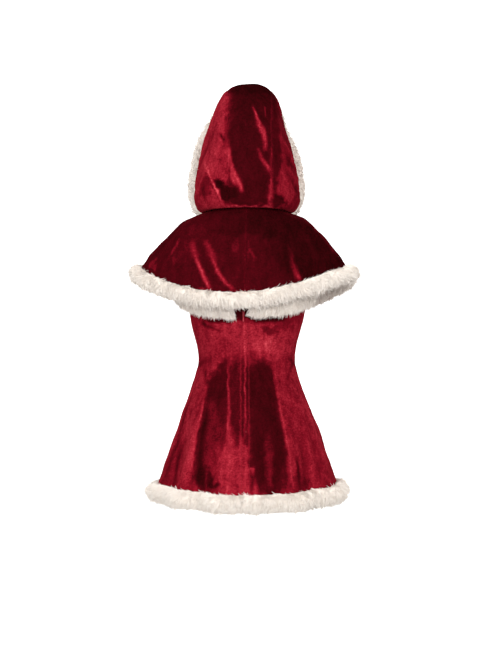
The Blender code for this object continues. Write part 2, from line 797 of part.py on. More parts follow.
def make_tapes():
    """The zip's two tapes, inside the edges of the back panels."""
    for name, panel, sign in (
        ("zip_tape_left", PANELS[0], 1),
        ("zip_tape_right", PANELS[-1], -1),
    ):
        inside = -(WALL / 2 + SEAM_GAP + TAPE_THICK / 2)
        whole = int(ZIP_ROWS)

        def place(u, v, panel=panel, sign=sign):
            row = min((1 - v) * (whole + 1), ZIP_ROWS)
            width = (panel_point(panel, panel.columns, row) - panel_point(panel, 0, row)).length
            across = u * TAPE_WIDTH / width * panel.columns
            column = across if sign > 0 else panel.columns - across
            return flat_point(panel, column, row, inside)

        add_piece(name, mapped_grid(1, whole + 1, place), ZIP_CLOTH, TAPE_THICK)


def rounded_block(size, round_by):
    """A block round the origin with rounded edges."""
    bm = bmesh.new()
    bmesh.ops.create_cube(bm, size=1.0)
    bmesh.ops.scale(bm, vec=size, verts=bm.verts)
    bmesh.ops.bevel(
        bm, geom=bm.edges[:], offset=round_by, segments=2, affect="EDGES", profile=0.5
    )
    return bm


def wire(name, points, across, radius, look, closed=False, sides=8):
    """A round wire along points that lie in a plane, across being that plane's normal."""
    sections = []
    count = len(points)
    for index, point in enumerate(points):
        before = points[index - 1] if closed or index else point
        after = points[(index + 1) % count] if closed or index < count - 1 else point
        side = (after - before).normalized().cross(across).normalized()
        section = []
        for corner in range(sides):
            turn = FULL_TURN * corner / sides
            section.append(point + (across * math.cos(turn) + side * math.sin(turn)) * radius)
        sections.append(section)
    return tube(name, sections, look, closed)


def joined(piece, other):
    """Joins another solid to a piece, and hides the other."""
    union = piece.modifiers.new("Join", "BOOLEAN")
    union.operation = "UNION"
    union.solver = "EXACT"
    union.object = other
    other.hide_render = True
    other.hide_viewport = True


def half_turn(centre, start, towards, steps=8):
    """Points of a half circle round a centre, from centre + start by way of centre + towards."""
    turns = [math.pi * step / steps for step in range(steps + 1)]
    return [centre + start * math.cos(turn) + towards * math.sin(turn) for turn in turns]


def make_slider():
    """The zip's slider inside the edges, its bridge through the V, and the pull tab on it."""
    angle = seam_angle(BACK_SEAM, SLIDER_HEIGHT)
    point, out, down = surface_frame(dress_point, angle, SLIDER_HEIGHT, 0.01, -0.004)
    up = -down
    across = up.cross(out).normalized()
    depth = WALL / 2 + 2 * SEAM_GAP + TAPE_THICK + SLIDER_THICK / 2
    turn = Matrix((across, up, out)).transposed().to_4x4()

    bm = rounded_block((SLIDER_WIDTH, SLIDER_LENGTH, SLIDER_THICK), 0.0006)
    bmesh.ops.transform(bm, matrix=Matrix.Translation(point - out * depth) @ turn, verts=bm.verts)
    slider = add_piece("zip_slider", bm, ZIP_METAL)
    legs = up * BRIDGE_LENGTH / 2
    bend = 0.0018
    top = out * (BRIDGE_REACH - bend)
    path = [point + legs - out * depth, point + legs + top]
    path += [point + legs + top + out * bend * 0.7 - up * bend * 0.3]
    path += [point + legs + top + out * bend - up * bend, point - legs + top + out * bend + up * bend]
    path += [point - legs + top + out * bend * 0.7 + up * bend * 0.3]
    path += [point - legs + top, point - legs - out * depth]
    joined(slider, wire("zip_bridge", path, across, BRIDGE_RADIUS, ZIP_METAL))

    eye_top = point + out * PULL_OFF_CLOTH - up * PULL_DROP
    middle = eye_top - up * PULL_EYE_HEIGHT
    loop = []
    for step in range(16):
        spin = FULL_TURN * step / 16
        loop.append(
            middle
            + up * PULL_EYE_HEIGHT * math.cos(spin)
            + across * PULL_EYE_WIDTH * math.sin(spin)
        )
    pull = wire("zip_pull", loop, out, PULL_WIRE, ZIP_METAL, closed=True)
    bm = rounded_block((PULL_WIDTH, PULL_LENGTH, PULL_THICK), 0.0005)
    for vert in bm.verts:
        if vert.co.y > PULL_LENGTH * 0.2:
            vert.co.x *= 0.6
    place = middle - up * (PULL_EYE_HEIGHT + PULL_LENGTH / 2 - 0.0003)
    bmesh.ops.transform(bm, matrix=Matrix.Translation(place) @ turn, verts=bm.verts)
    joined(pull, add_piece("zip_pull_blade", bm, ZIP_METAL))


def make_hook_and_eye():
    """The wire hook and eye that hold the cape's front edges together at the neck."""
    point, out, down = surface_frame(cape_point, math.pi, HOOK_SHARE, 0.01, 0.01)
    centre = point - out * HOOK_OFF_CLOTH
    across = Vector((1, 0, 0))
    leg = down * EYE_HALF_WIDTH
    bend_at = centre - across * 0.0010
    path = [centre + across * HOOK_REACH - leg]
    path += half_turn(bend_at, -leg, -across * EYE_HALF_WIDTH)
    path += [centre + across * HOOK_REACH + leg]
    wire("neck_eye", path, out, HOOK_WIRE, HOOK_METAL)
    inside = -out * (2 * HOOK_WIRE + SEAM_GAP)
    path = [centre - across * HOOK_REACH, centre - across * 0.0050]
    path += [centre - across * 0.0040 + inside, centre - across * 0.0014 + inside]
    path += [centre - across * 0.0006 + inside * 0.6, centre - across * 0.0005]
    wire("neck_hook", path, down, HOOK_WIRE, HOOK_METAL)


def main():
    """Builds every piece."""
    clear_scene()
    make_dress()
    make_hem_trim()
    make_top_band()
    cape_panel("cape_left", 1)
    cape_panel("cape_right", -1)
    make_cape_trim()
    make_hood()
    make_hood_trim()
    make_tapes()
    make_slider()
    make_hook_and_eye()


main()
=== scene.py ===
"""Christmas dress costume, finished for the picture.

A strapless velvet mini dress and a hooded capelet, both edged in long plush, in worn form.
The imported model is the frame. Each cloth panel and each plush roll is made again here on the
same surfaces, finer and with its creases, pile and sewing. Metres, +Z up. The wearer's front
faces -Y, so +X is the wearer's left. Angles run round the wearer's axis from centre back,
positive towards the wearer's left. Marks on the cloth are placed in millimetres.
"""

from __future__ import annotations

import logging
import math
from dataclasses import dataclass
from enum import Enum
from typing import Callable, Sequence

import bmesh
import bpy
import numpy as np
from mathutils import Matrix, Vector


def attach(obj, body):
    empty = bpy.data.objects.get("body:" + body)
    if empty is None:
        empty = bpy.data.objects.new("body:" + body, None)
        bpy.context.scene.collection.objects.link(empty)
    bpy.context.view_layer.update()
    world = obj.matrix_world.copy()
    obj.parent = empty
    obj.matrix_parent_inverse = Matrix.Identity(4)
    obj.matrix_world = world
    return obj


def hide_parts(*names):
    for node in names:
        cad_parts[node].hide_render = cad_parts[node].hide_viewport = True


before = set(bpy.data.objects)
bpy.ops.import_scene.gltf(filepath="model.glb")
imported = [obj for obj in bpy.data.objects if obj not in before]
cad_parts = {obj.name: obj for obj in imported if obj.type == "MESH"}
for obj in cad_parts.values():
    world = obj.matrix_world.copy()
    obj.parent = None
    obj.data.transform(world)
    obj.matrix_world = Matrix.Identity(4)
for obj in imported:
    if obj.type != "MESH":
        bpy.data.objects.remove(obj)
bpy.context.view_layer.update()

LOG = logging.getLogger("christmas_dress")

Array = np.ndarray
Arrays = tuple[Array, ...]
Pair = tuple[float, float]
Triple = tuple[float, float, float]
BMesh = bmesh.types.BMesh
Mesh = bpy.types.Mesh
Piece = bpy.types.Object
Material = bpy.types.Material
Socket = bpy.types.NodeSocket

FULL_TURN = 2 * math.pi
MM = 0.001
WALL = 0.0020
SEAM_GAP = 0.0003


class Slot(Enum):
    """The record's material slots."""

    VELVET = "velvet"
    PLUSH = "plush"
    TAPE = "zip_cloth"


class Body(Enum):
    """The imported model's body that every new piece rides on."""

    GARMENT = "garment"


class Side(Enum):
    """The side of the garment that a mark is placed on: its across axis, facing axis and sign."""

    BACK = (0, 1, 1)
    FRONT = (0, 1, -1)
    LEFT = (1, 0, 1)
    RIGHT = (1, 0, -1)


class Kind(Enum):
    """Blender's names for the shader nodes that the finishes use, after ShaderNode."""

    ATTRIBUTE = "Attribute"
    BUMP = "Bump"
    COORDINATES = "TexCoord"
    MAPPING = "Mapping"
    MATH = "Math"
    MIX = "Mix"
    NOISE = "TexNoise"
    RAMP = "ValToRGB"
    WAVE = "TexWave"


# Sums on arrays


def blended(low: Array | float, high: Array | float, share: Array) -> Array:
    """Goes from low at share 0 to high at share 1, with a soft start and end."""
    share = np.clip(share, 0.0, 1.0)
    return low + (high - low) * share * share * (3 - 2 * share)


def eased(share: Array) -> Array:
    """Goes from 0 to 1 with a soft start and end."""
    return blended(0.0, 1.0, share)


def turned_from(angle: Array, other: float) -> Array:
    """The signed angle from other to angle, the short way round."""
    return (angle - other + math.pi) % FULL_TURN - math.pi


def oval_radius(angle: Array, half_width: Array, depth: Array, roundness: float) -> Array:
    """How far an oval is from its middle: roundness 2 is an ellipse, and more is squarer."""
    sides = ((np.sin(angle), half_width), (np.cos(angle), depth))
    powers = [(np.abs(way) / np.maximum(size, 1e-7)) ** roundness for way, size in sides]
    return sum(powers) ** (-1 / roundness)


def lengths_of(vectors: Array) -> Array:
    """The lengths of the vectors in an array's last axis."""
    return np.sqrt((vectors**2).sum(axis=-1, keepdims=True))


def line_length(line: Array) -> float:
    """How long the line through the points is."""
    return float(lengths_of(np.diff(line, axis=0)).sum())


def run_of(line: Array) -> Array:
    """How far along the line through the points each of them is."""
    return np.concatenate([[0.0], np.cumsum(lengths_of(np.diff(line, axis=0))[:, 0])])


def read_along(run: Array, vectors: Array, places: Array) -> Array:
    """Vectors between those that a line's points hold, at those distances along it."""
    return np.column_stack([np.interp(places, run, vectors[:, axis]) for axis in range(3)])


def unit(vectors: Array) -> Array:
    """The vectors in an array's last axis, each at length 1."""
    return vectors / np.maximum(lengths_of(vectors), 1e-12)


def lump(turn: Array, strength: float, seed: float) -> Array:
    """A plush roll's slow swelling along its length, as scales near 1, from a seed."""
    waves = np.sin(7 * turn + seed) + 0.7 * np.sin(12 * turn + 2.1 * seed)
    return 1 + strength * waves / 1.7


class Rows:
    """A table of rings or points, read anywhere on a smooth curve through its rows."""

    def __init__(self, rows: Sequence[Sequence[float]], even: bool = False) -> None:
        """Keeps the table.

        Args:
            rows: The rows, each starting with its key unless they are even.
            even: Whether the rows are evenly spaced from 0 to 1 and have no key.
        """
        self.table = np.array(rows, float)
        count = len(self.table)
        self.even = even
        self.keys = np.arange(count, dtype=float) / (count - 1) if even else self.table[:, 0]

    def at(self, key: Array) -> Array:
        """Reads the table.

        Args:
            key: Where to read it.

        Returns:
            A row for each key, in the last axis.
        """
        key = np.asarray(key, float)
        last = len(self.keys) - 1
        step = np.clip(np.searchsorted(self.keys, key), 1, last)
        low, high = step - 1, step
        before, after = np.maximum(step - 2, 0), np.minimum(step + 1, last)
        span = self.keys[high] - self.keys[low]
        share = ((key - self.keys[low]) / span)[..., None]
        if self.even:
            run_in = run_out = np.full_like(span, 2.0)[..., None]
        else:
            run_in = ((self.keys[high] - self.keys[before]) / span)[..., None]
            run_out = ((self.keys[after] - self.keys[low]) / span)[..., None]
        slope_in = (self.table[high] - self.table[before]) / run_in
        slope_out = (self.table[after] - self.table[low]) / run_out
        square, cube = share**2, share**3
        return (
            self.table[low] * (2 * cube - 3 * square + 1)
            + slope_in * (cube - 2 * square + share)
            + self.table[high] * (3 * square - 2 * cube)
            + slope_out * (cube - square)
        )


@dataclass(frozen=True)
class Flutes:
    """Soft upright flutes round a cloth: each at an angle, with a half width and a lift."""

    rows: tuple[Triple, ...]

    def lift(self, angle: Array) -> Array:
        """How far they lift the cloth off its round, where they are full."""
        total = np.zeros_like(angle)
        for degrees, half_width, lift in self.rows:
            offset = turned_from(angle, math.radians(degrees)) / math.radians(half_width)
            total += lift * np.exp(-offset * offset)
        return total


@dataclass(frozen=True)
class Waves:
    """Small uneven undulations of a cloth: a sum of crossing waves from a seed."""

    seed: int
    length: float
    height: float
    upright: float = 1.0
    count: int = 16

    def at(self, points: Array) -> Array:
        """Finds the waves' height.

        Args:
            points: Where, in metres.

        Returns:
            A height for each point, mostly within the waves' own.
        """
        rng = np.random.default_rng(self.seed)
        ways = unit(rng.normal(size=(self.count, 3)) * (1.0, 1.0, 1.0 / self.upright))
        pace = FULL_TURN / self.length * rng.uniform(0.6, 1.5, self.count)
        starts = rng.uniform(0, FULL_TURN, self.count)
        turns = points @ (ways * pace[:, None]).T + starts
        return self.height * np.sin(turns).sum(axis=-1) / math.sqrt(self.count)


# The surfaces that the pieces lie on


class Form:
    """A surface round the wearer's axis, with the small steps used for its slopes."""

    step_round = 0.01
    step_down = 0.01

    def point(self, angle: Array, along: Array) -> Array:
        """A point on the middle of the cloth."""
        raise NotImplementedError

    def frame(self, angle: Array, along: Array) -> Arrays:
        """Finds points and their directions.

        Args:
            angle: The angle round the axis.
            along: The height, or the share down the cloth.

        Returns:
            The points, the ways out and the ways down.
        """
        here = self.point(angle, along)
        down = unit(
            self.point(angle, along + self.step_down) - self.point(angle, along - self.step_down)
        )
        around = self.point(angle + self.step_round, along) - self.point(
            angle - self.step_round, along
        )
        out = unit(np.cross(down, around))
        inward = (out[..., :2] * here[..., :2]).sum(axis=-1) < 0
        out[inward] *= -1
        return here, out, down


# Height, half width, depth behind, depth in front and how far its middle is to the left
DRESS_RINGS = Rows((
    (-0.345, 0.2350, 0.176, 0.168, -0.0024),
    (-0.285, 0.2115, 0.164, 0.152, -0.0024),
    (-0.226, 0.1900, 0.151, 0.137, -0.0024),
    (-0.168, 0.1705, 0.138, 0.121, -0.0022),
    (-0.110, 0.1505, 0.121, 0.106, -0.0010),
    (-0.053, 0.1286, 0.099, 0.095, 0.0010),
    (-0.024, 0.1186, 0.0845, 0.090, 0.0005),
    (0.004, 0.1128, 0.0760, 0.087, 0.0),
    (0.034, 0.1160, 0.0755, 0.089, 0.0004),
    (0.062, 0.1245, 0.0800, 0.095, 0.0004),
    (0.091, 0.1318, 0.0840, 0.100, 0.0004),
    (0.130, 0.1385, 0.0885, 0.104, 0.0),
    (0.175, 0.1420, 0.0920, 0.104, 0.0),
    (0.240, 0.1420, 0.0930, 0.098, 0.0),
))


@dataclass(frozen=True)
class DressForm(Form):
    """The worn dress: a fitted bodice and a fluted, flared skirt, with no waist seam."""

    rows: Rows = DRESS_RINGS
    flutes: Flutes = Flutes((
        (2, 7, -0.005), (20, 8, 0.006), (34, 7, -0.006), (48, 7, 0.009), (61, 6, -0.006),
        (76, 8, 0.005), (104, 9, -0.006), (124, 9, 0.007), (146, 9, -0.006), (168, 10, 0.005),
        (-18, 8, 0.003), (-35, 8, 0.008), (-50, 7, -0.007), (-66, 8, 0.006), (-82, 7, -0.004),
        (-106, 10, 0.006), (-128, 9, -0.006), (-150, 10, 0.007), (-172, 8, -0.004),
    ))
    flute_top: float = -0.07
    flute_power: float = 1.3
    flute_most: float = 1.25
    hem_side: float = -0.288
    hem_back: float = -0.302
    hem_front: float = -0.296
    top_back: float = 0.140
    top_front: float = 0.210
    roundness: float = 2.25
    bust_angle: float = math.radians(146)
    bust_height: float = 0.158
    bust_rise: float = 0.024
    bust_spread: float = math.radians(25)
    bust_tall: float = 0.052
    step_down: float = -0.004

    def point(self, angle: Array, height: Array) -> Array:
        """A point on the middle of the dress's cloth, at an angle and a height."""
        row = self.rows.at(height)
        depth = np.where(np.cos(angle) >= 0, row[..., 2], row[..., 3])
        radius = oval_radius(angle, row[..., 1], depth, self.roundness)
        fall = np.clip((self.flute_top - height) / (self.flute_top - self.hem_side), 0, self.flute_most)
        across = turned_from(np.abs(turned_from(angle, 0.0)), self.bust_angle) / self.bust_spread
        tall = (height - self.bust_height) / self.bust_tall
        bust = self.bust_rise * np.exp(-across * across - tall * tall)
        radius = radius + self.flutes.lift(angle) * fall**self.flute_power + bust
        x = row[..., 4] + radius * np.sin(angle)
        return np.stack([x, radius * np.cos(angle), height + 0 * x], axis=-1)

    def hem(self, angle: Array) -> Array:
        """The height of the skirt's hem."""
        middle = np.where(np.cos(angle) >= 0, self.hem_back, self.hem_front)
        return self.hem_side + (middle - self.hem_side) * np.cos(angle) ** 2

    def top(self, angle: Array) -> Array:
        """The height of the bodice's top edge."""
        return blended(self.top_back, self.top_front, (1 - np.cos(angle)) / 2)


# Share, half width, height at the sides, then depth and height behind and in front
CAPE_RINGS = Rows((
    (0.00, 0.0620, 0.3670, 0.0620, 0.3880, 0.0580, 0.3460),
    (0.12, 0.0900, 0.3595, 0.0840, 0.3650, 0.0800, 0.3320),
    (0.25, 0.1190, 0.3505, 0.1010, 0.3380, 0.1040, 0.3130),
    (0.40, 0.1520, 0.3355, 0.1150, 0.3030, 0.1290, 0.2840),
    (0.60, 0.1900, 0.2976, 0.1255, 0.2560, 0.1520, 0.2400),
    (0.80, 0.2205, 0.2625, 0.1295, 0.2090, 0.1630, 0.1960),
    (1.00, 0.2460, 0.2265, 0.1311, 0.1630, 0.1670, 0.1520),
    (1.16, 0.2660, 0.1990, 0.1316, 0.1280, 0.1690, 0.1190),
))


@dataclass(frozen=True)
class CapeForm(Form):
    """The short cape over the shoulders: rings from the neckline to the hem's edge."""

    rows: Rows = CAPE_RINGS
    flutes: Flutes = Flutes((
        (4, 8, 0.003), (22, 9, 0.005), (62, 10, 0.005), (108, 11, -0.005), (150, 10, 0.004),
        (-33, 9, 0.006), (-68, 10, 0.004), (-112, 11, 0.006), (-148, 10, -0.004),
    ))
    shift: float = 0.007
    back_tilt: float = -0.06
    front_tilt: float = 0.12
    front_part: float = 0.0045
    flute_power: float = 1.6

    def point(self, angle: Array, share: Array) -> Array:
        """A point on the middle of the cape's cloth, share 0 at the neck and 1 at the hem."""
        row = self.rows.at(share)
        sine, cosine = np.sin(angle), np.cos(angle)
        behind = cosine >= 0
        depth = np.where(behind, row[..., 3], row[..., 5])
        height = np.where(behind, row[..., 4], row[..., 6])
        height = row[..., 2] * sine**2 + height * cosine**2
        tilt = np.where(behind, self.back_tilt, self.front_tilt)
        height = height + tilt * row[..., 1] * sine * np.abs(cosine) * share
        lift = self.flutes.lift(angle) * np.maximum(share, 0.0) ** self.flute_power
        x = (row[..., 1] + lift) * sine + self.shift * share
        return np.stack([x, (depth + lift) * cosine, height], axis=-1)

    def spread(self, across: Array, share: Array) -> Array:
        """The angle of a place across the left half: 0 at the back seam, 1 at the front edge."""
        side = self.rows.at(share)[..., 1]
        return (math.pi - self.front_part * (1 + share) / side) * across


# Height at the sides, behind and in front, half width, depth behind and depth in front
HOOD_RINGS = Rows((
    (0.3700, 0.3925, 0.3500, 0.0620, 0.0620, 0.0580),
    (0.3650, 0.3700, 0.3530, 0.0880, 0.0860, 0.0740),
    (0.3600, 0.3625, 0.3600, 0.1090, 0.1040, 0.0900),
    (0.3710, 0.3785, 0.3740, 0.1205, 0.1150, 0.1130),
    (0.3960, 0.4025, 0.3960, 0.1250, 0.1200, 0.1500),
    (0.4280, 0.4340, 0.4280, 0.1222, 0.1210, 0.2000),
    (0.4600, 0.4630, 0.4610, 0.1163, 0.1205, 0.2400),
    (0.4920, 0.4920, 0.4920, 0.1098, 0.1190, 0.2500),
    (0.5210, 0.5210, 0.5210, 0.1020, 0.1160, 0.2500),
    (0.5500, 0.5500, 0.5480, 0.0935, 0.1110, 0.2500),
    (0.5780, 0.5780, 0.5740, 0.0850, 0.1030, 0.2450),
    (0.6070, 0.6060, 0.6000, 0.0775, 0.0900, 0.2350),
    (0.6330, 0.6290, 0.6230, 0.0655, 0.0720, 0.2150),
    (0.6500, 0.6460, 0.6400, 0.0510, 0.0530, 0.1850),
    (0.6610, 0.6590, 0.6540, 0.0340, 0.0340, 0.1400),
    (0.6655, 0.6655, 0.6655, 0.0, 0.0, 0.0),
), even=True)


@dataclass(frozen=True)
class HoodForm(Form):
    """The soft hood: rings from the neckline to the crown, cut by a leaning plane at the face."""

    rows: Rows = HOOD_RINGS
    roundness: float = 2.3
    crown_shift: float = -0.0045
    shift_from: float = 0.575
    shift_over: float = 0.045
    face_point: Triple = (0.0, -0.094, 0.470)
    face_lean: Triple = (0.0, -1.0, -0.13)

    def point(self, angle: Array, share: Array) -> Array:
        """A point on the middle of the hood's cloth, share 0 at the neck and 1 at the crown."""
        row = self.rows.at(share)
        sine, cosine = np.sin(angle), np.cos(angle)
        behind = cosine >= 0
        height = np.where(behind, row[..., 1], row[..., 2])
        height = row[..., 0] * sine**2 + height * cosine**2
        depth = np.where(behind, row[..., 4], row[..., 5])
        radius = oval_radius(angle, row[..., 3], depth, self.roundness)
        shift = blended(0.0, self.crown_shift, (height - self.shift_from) / self.shift_over)
        return np.stack([radius * sine + shift, radius * cosine, height], axis=-1)

    def face_way(self) -> Array:
        """The way that the face opening looks."""
        return unit(np.array(self.face_lean))


# Marks in the cloth: creases, and painted light and shade on the pile


@dataclass(frozen=True)
class Crease:
    """A soft trough or ridge along a line in millimetres, across and up.

    A positive lift is a ridge. A fold leans it over to one side of the line. Along it the pile
    takes painted light or shade from 0 to 1, partly crushed-nap tone, as strongly as
    light_paint_strength says. Its width grows to flare times itself at the line's end.
    """

    line: tuple[Pair, ...]
    width: float
    lift: float
    fold: float = 0.0
    bright: float = 0.5
    light_paint_strength: float = 0.0
    flare: float = 1.0
    ends: float = 0.3
    fold_pull: float = 2.3
    light_paint_narrow: float = 1.2

    def smooth_line(self) -> Array:
        """The line with two more points in each stretch, on a smooth curve."""
        points = np.array(self.line, float)
        if len(points) < 3:
            return points
        keys = np.arange(len(points), dtype=float)
        table = Rows(np.column_stack([keys, points]))
        return table.at(np.linspace(0, keys[-1], 3 * (len(points) - 1) + 1))[:, 1:]

    def reach(self, flat: Array) -> Arrays:
        """Finds where points are beside the line.

        Args:
            flat: The points, across and up, in millimetres.

        Returns:
            The signed distance from the line, and the share of the way along it.
        """
        line = self.smooth_line()
        best = np.full(len(flat), np.inf)
        signed, along = np.zeros(len(flat)), np.zeros(len(flat))
        run = 0.0
        total = line_length(line)
        for start, end in zip(line, line[1:]):
            span = float(np.hypot(*(end - start)))
            way = (end - start) / span
            offset = flat - start
            place = np.clip(offset @ way, 0, span)
            beside = offset - place[:, None] * way
            distance = np.hypot(beside[:, 0], beside[:, 1])
            closer = distance < best
            turn = np.sign(way[0] * offset[:, 1] - way[1] * offset[:, 0])
            best = np.where(closer, distance, best)
            signed = np.where(closer, distance * turn, signed)
            along = np.where(closer, (run + place) / total, along)
            run += span
        return signed, along

    def press(self, flat: Array) -> Arrays:
        """Presses the crease into the cloth.

        Args:
            flat: The points, across and up, in millimetres.

        Returns:
            How far the cloth moves out, in millimetres, and how strongly its painted light or shade is
            laid on.
        """
        signed, along = self.reach(flat)
        spread = signed / (self.width * (1 + (self.flare - 1) * along))
        bell = np.exp(-spread * spread)
        ends = eased(along / self.ends) * eased((1 - along) / (self.ends / self.flare))
        moved = self.lift * bell * (1 - abs(self.fold) + self.fold * self.fold_pull * spread)
        near = np.exp(-self.light_paint_narrow * spread * spread)
        return moved * ends, self.light_paint_strength * near * np.sqrt(ends)


@dataclass(frozen=True)
class Patch:
    """A pool of painted light or painted shade on the pile, partly crushed-nap tone: an oval in
    millimetres.
    """

    middle: Pair
    half: Pair
    bright: float
    turn: float = 0.0
    soft_from: float = 0.75
    soft_over: float = 0.5

    def cover(self, flat: Array) -> Array:
        """How fully it covers points given across and up, in millimetres."""
        turn = math.radians(self.turn)
        offset = flat - np.array(self.middle)
        across = offset[:, 0] * math.cos(turn) + offset[:, 1] * math.sin(turn)
        up = offset[:, 1] * math.cos(turn) - offset[:, 0] * math.sin(turn)
        ring = np.sqrt((across / self.half[0]) ** 2 + (up / self.half[1]) ** 2)
        return blended(1.0, 0.0, (ring - self.soft_from) / self.soft_over)


def creases(*rows: Sequence) -> tuple[Crease, ...]:
    """Creases from rows: the line's numbers, across and up in turn, then the other fields."""
    return tuple(Crease(tuple(zip(line[::2], line[1::2])), *sizes) for line, *sizes in rows)


def patches(*rows: Sequence) -> tuple[Patch, ...]:
    """Patches from rows: the two numbers of its middle and of its half size, then the rest."""
    return tuple(Patch(row[:2], row[2:4], *row[4:]) for row in rows)


@dataclass(frozen=True)
class Marks:
    """All the creases, patches of painted light and shade, and undulations of one part of the garment, by
    side.
    """

    bright: float
    creases: dict[Side, tuple[Crease, ...]]
    patches: dict[Side, tuple[Patch, ...]]
    waves: tuple[Waves, ...]
    side_from: float = -0.05
    side_over: float = 0.45
    light_paint_wander: float = 0.35
    wander: tuple[Waves, Waves] = (Waves(61, 0.026, 0.0032), Waves(62, 0.020, 0.0044))

    def press(self, points: Array, out: Array) -> Arrays:
        """Presses the marks into a cloth.

        Args:
            points: The cloth's points, in metres.
            out: The ways out of it.

        Returns:
            How far each point moves out, in metres, and its pile's painted light and shade with nap tone,
            from 0 to 1.
        """
        # The pile's value is painted light and shade, partly crushed-nap tone: each side's patches and
        # creases lay it on.
        moved, bright = np.zeros(len(points)), np.full(len(points), self.bright)
        ragged = np.column_stack([wave.at(points) for wave in self.wander]) / MM
        for side in Side:
            across, facing, sign = side.value
            shown = eased((out[:, facing] * sign - self.side_from) / self.side_over)
            flat = np.column_stack([points[:, across], points[:, 2]]) / MM
            for patch in self.patches.get(side, ()):
                bright += (patch.bright - bright) * patch.cover(flat + ragged) * shown
            for crease in self.creases.get(side, ()):
                lift, _ = crease.press(flat)
                _, weight = crease.press(flat + self.light_paint_wander * ragged)
                moved += lift * shown * MM
                bright += (crease.bright - bright) * weight * shown
        for wave in self.waves:
            moved += wave.at(points)
        return moved, bright


# Finishes


class Board:
    """A material and its node tree, with short calls for the nodes that the finishes use."""

    def __init__(self, name: str) -> None:
        """Starts a Principled material of that name."""
        self.material = bpy.data.materials.new(name)
        self.material.use_nodes = True
        self.tree = self.material.node_tree
        self.shader = self.tree.nodes["Principled BSDF"]
        self.coordinates = self.add(Kind.COORDINATES, {}).outputs["Object"]

    def put(self, socket: Socket, value: object) -> None:
        """Links a socket to another node's output, or sets its own value."""
        if isinstance(value, Socket):
            self.tree.links.new(value, socket)
        else:
            socket.default_value = value

    def add(self, kind: Kind, inputs: dict, **settings: object) -> bpy.types.Node:
        """A new node with those settings, its inputs linked or set."""
        node = self.tree.nodes.new("ShaderNode" + kind.value)
        for name, value in settings.items():
            setattr(node, name, value)
        for key, value in inputs.items():
            self.put(node.inputs[key], value)
        return node

    def noise(
        self, scale: float, detail: float = 2.0, rough: float = 0.5, stretch: Sequence[float] = ()
    ) -> Socket:
        """Adds noise on the object's own coordinates.

        Args:
            scale: Its cells to a metre.
            detail: How many finer layers it has.
            rough: How strong they are.
            stretch: A scale for each axis, where it isn't even.

        Returns:
            The noise's value.
        """
        vector = self.coordinates
        if stretch:
            vector = self.add(Kind.MAPPING, {"Vector": vector, "Scale": stretch}).outputs["Vector"]
        inputs = {"Vector": vector, "Scale": scale, "Detail": detail, "Roughness": rough}
        return self.add(Kind.NOISE, inputs).outputs["Fac"]

    def stripes(self, scale: float, distortion: float = 0.0) -> Socket:
        """Fine slanted bands on the object's own coordinates."""
        inputs = {"Vector": self.coordinates, "Scale": scale, "Distortion": distortion}
        return self.add(Kind.WAVE, inputs, bands_direction="DIAGONAL").outputs["Fac"]

    def attribute(self, name: str) -> Socket:
        """The value that the mesh keeps under that name."""
        return self.add(Kind.ATTRIBUTE, {}, attribute_name=name).outputs["Fac"]

    def math(self, operation: str, *values: object) -> Socket:
        """One sum, such as ADD or MULTIPLY."""
        return self.add(Kind.MATH, dict(enumerate(values)), operation=operation).outputs["Value"]

    def weighted(self, *terms: tuple[object, float]) -> Socket:
        """The sum of values, each times its weight."""
        total: object = 0.0
        for value, weight in terms:
            total = self.math("MULTIPLY_ADD", value, weight, total)
        return total

    def ramp(self, value: object, stops: Sequence[tuple[float, Sequence[float]]]) -> object:
        """Turns a value into a colour.

        Args:
            value: The value, from 0 to 1.
            stops: Places on the ramp, each with its red, green and blue.

        Returns:
            The colour.
        """
        node = self.add(Kind.RAMP, {"Fac": value})
        elements = node.color_ramp.elements
        while len(elements) < len(stops):
            elements.new(0.5)
        for element, (place, colour) in zip(elements, stops):
            element.position = place
            element.color = (*colour, 1.0)
        return node.outputs["Color"]

    def mix(self, share: object, first: object, second: object) -> Socket:
        """A colour between two."""
        ends = [(*end, 1.0) if isinstance(end, tuple) else end for end in (first, second)]
        return self.add(Kind.MIX, {0: share, 6: ends[0], 7: ends[1]}, data_type="RGBA").outputs[2]

    def finish(self, *bumps: tuple[object, float, float], **values: object) -> Material:
        """Finishes the shader.

        Args:
            bumps: Layers of bump, each a height, its strength and its distance in metres.
            values: What each of its other sockets takes, with _ for each space in its name.

        Returns:
            The material.
        """
        for name, value in values.items():
            self.put(self.shader.inputs[name.replace("_", " ")], value)
        below: dict = {}
        for height, strength, distance in bumps:
            inputs = {"Height": height, "Strength": strength, "Distance": distance}
            below = {"Normal": self.add(Kind.BUMP, inputs | below).outputs["Normal"]}
        for normal in below.values():
            self.put(self.shader.inputs["Normal"], normal)
        return self.material


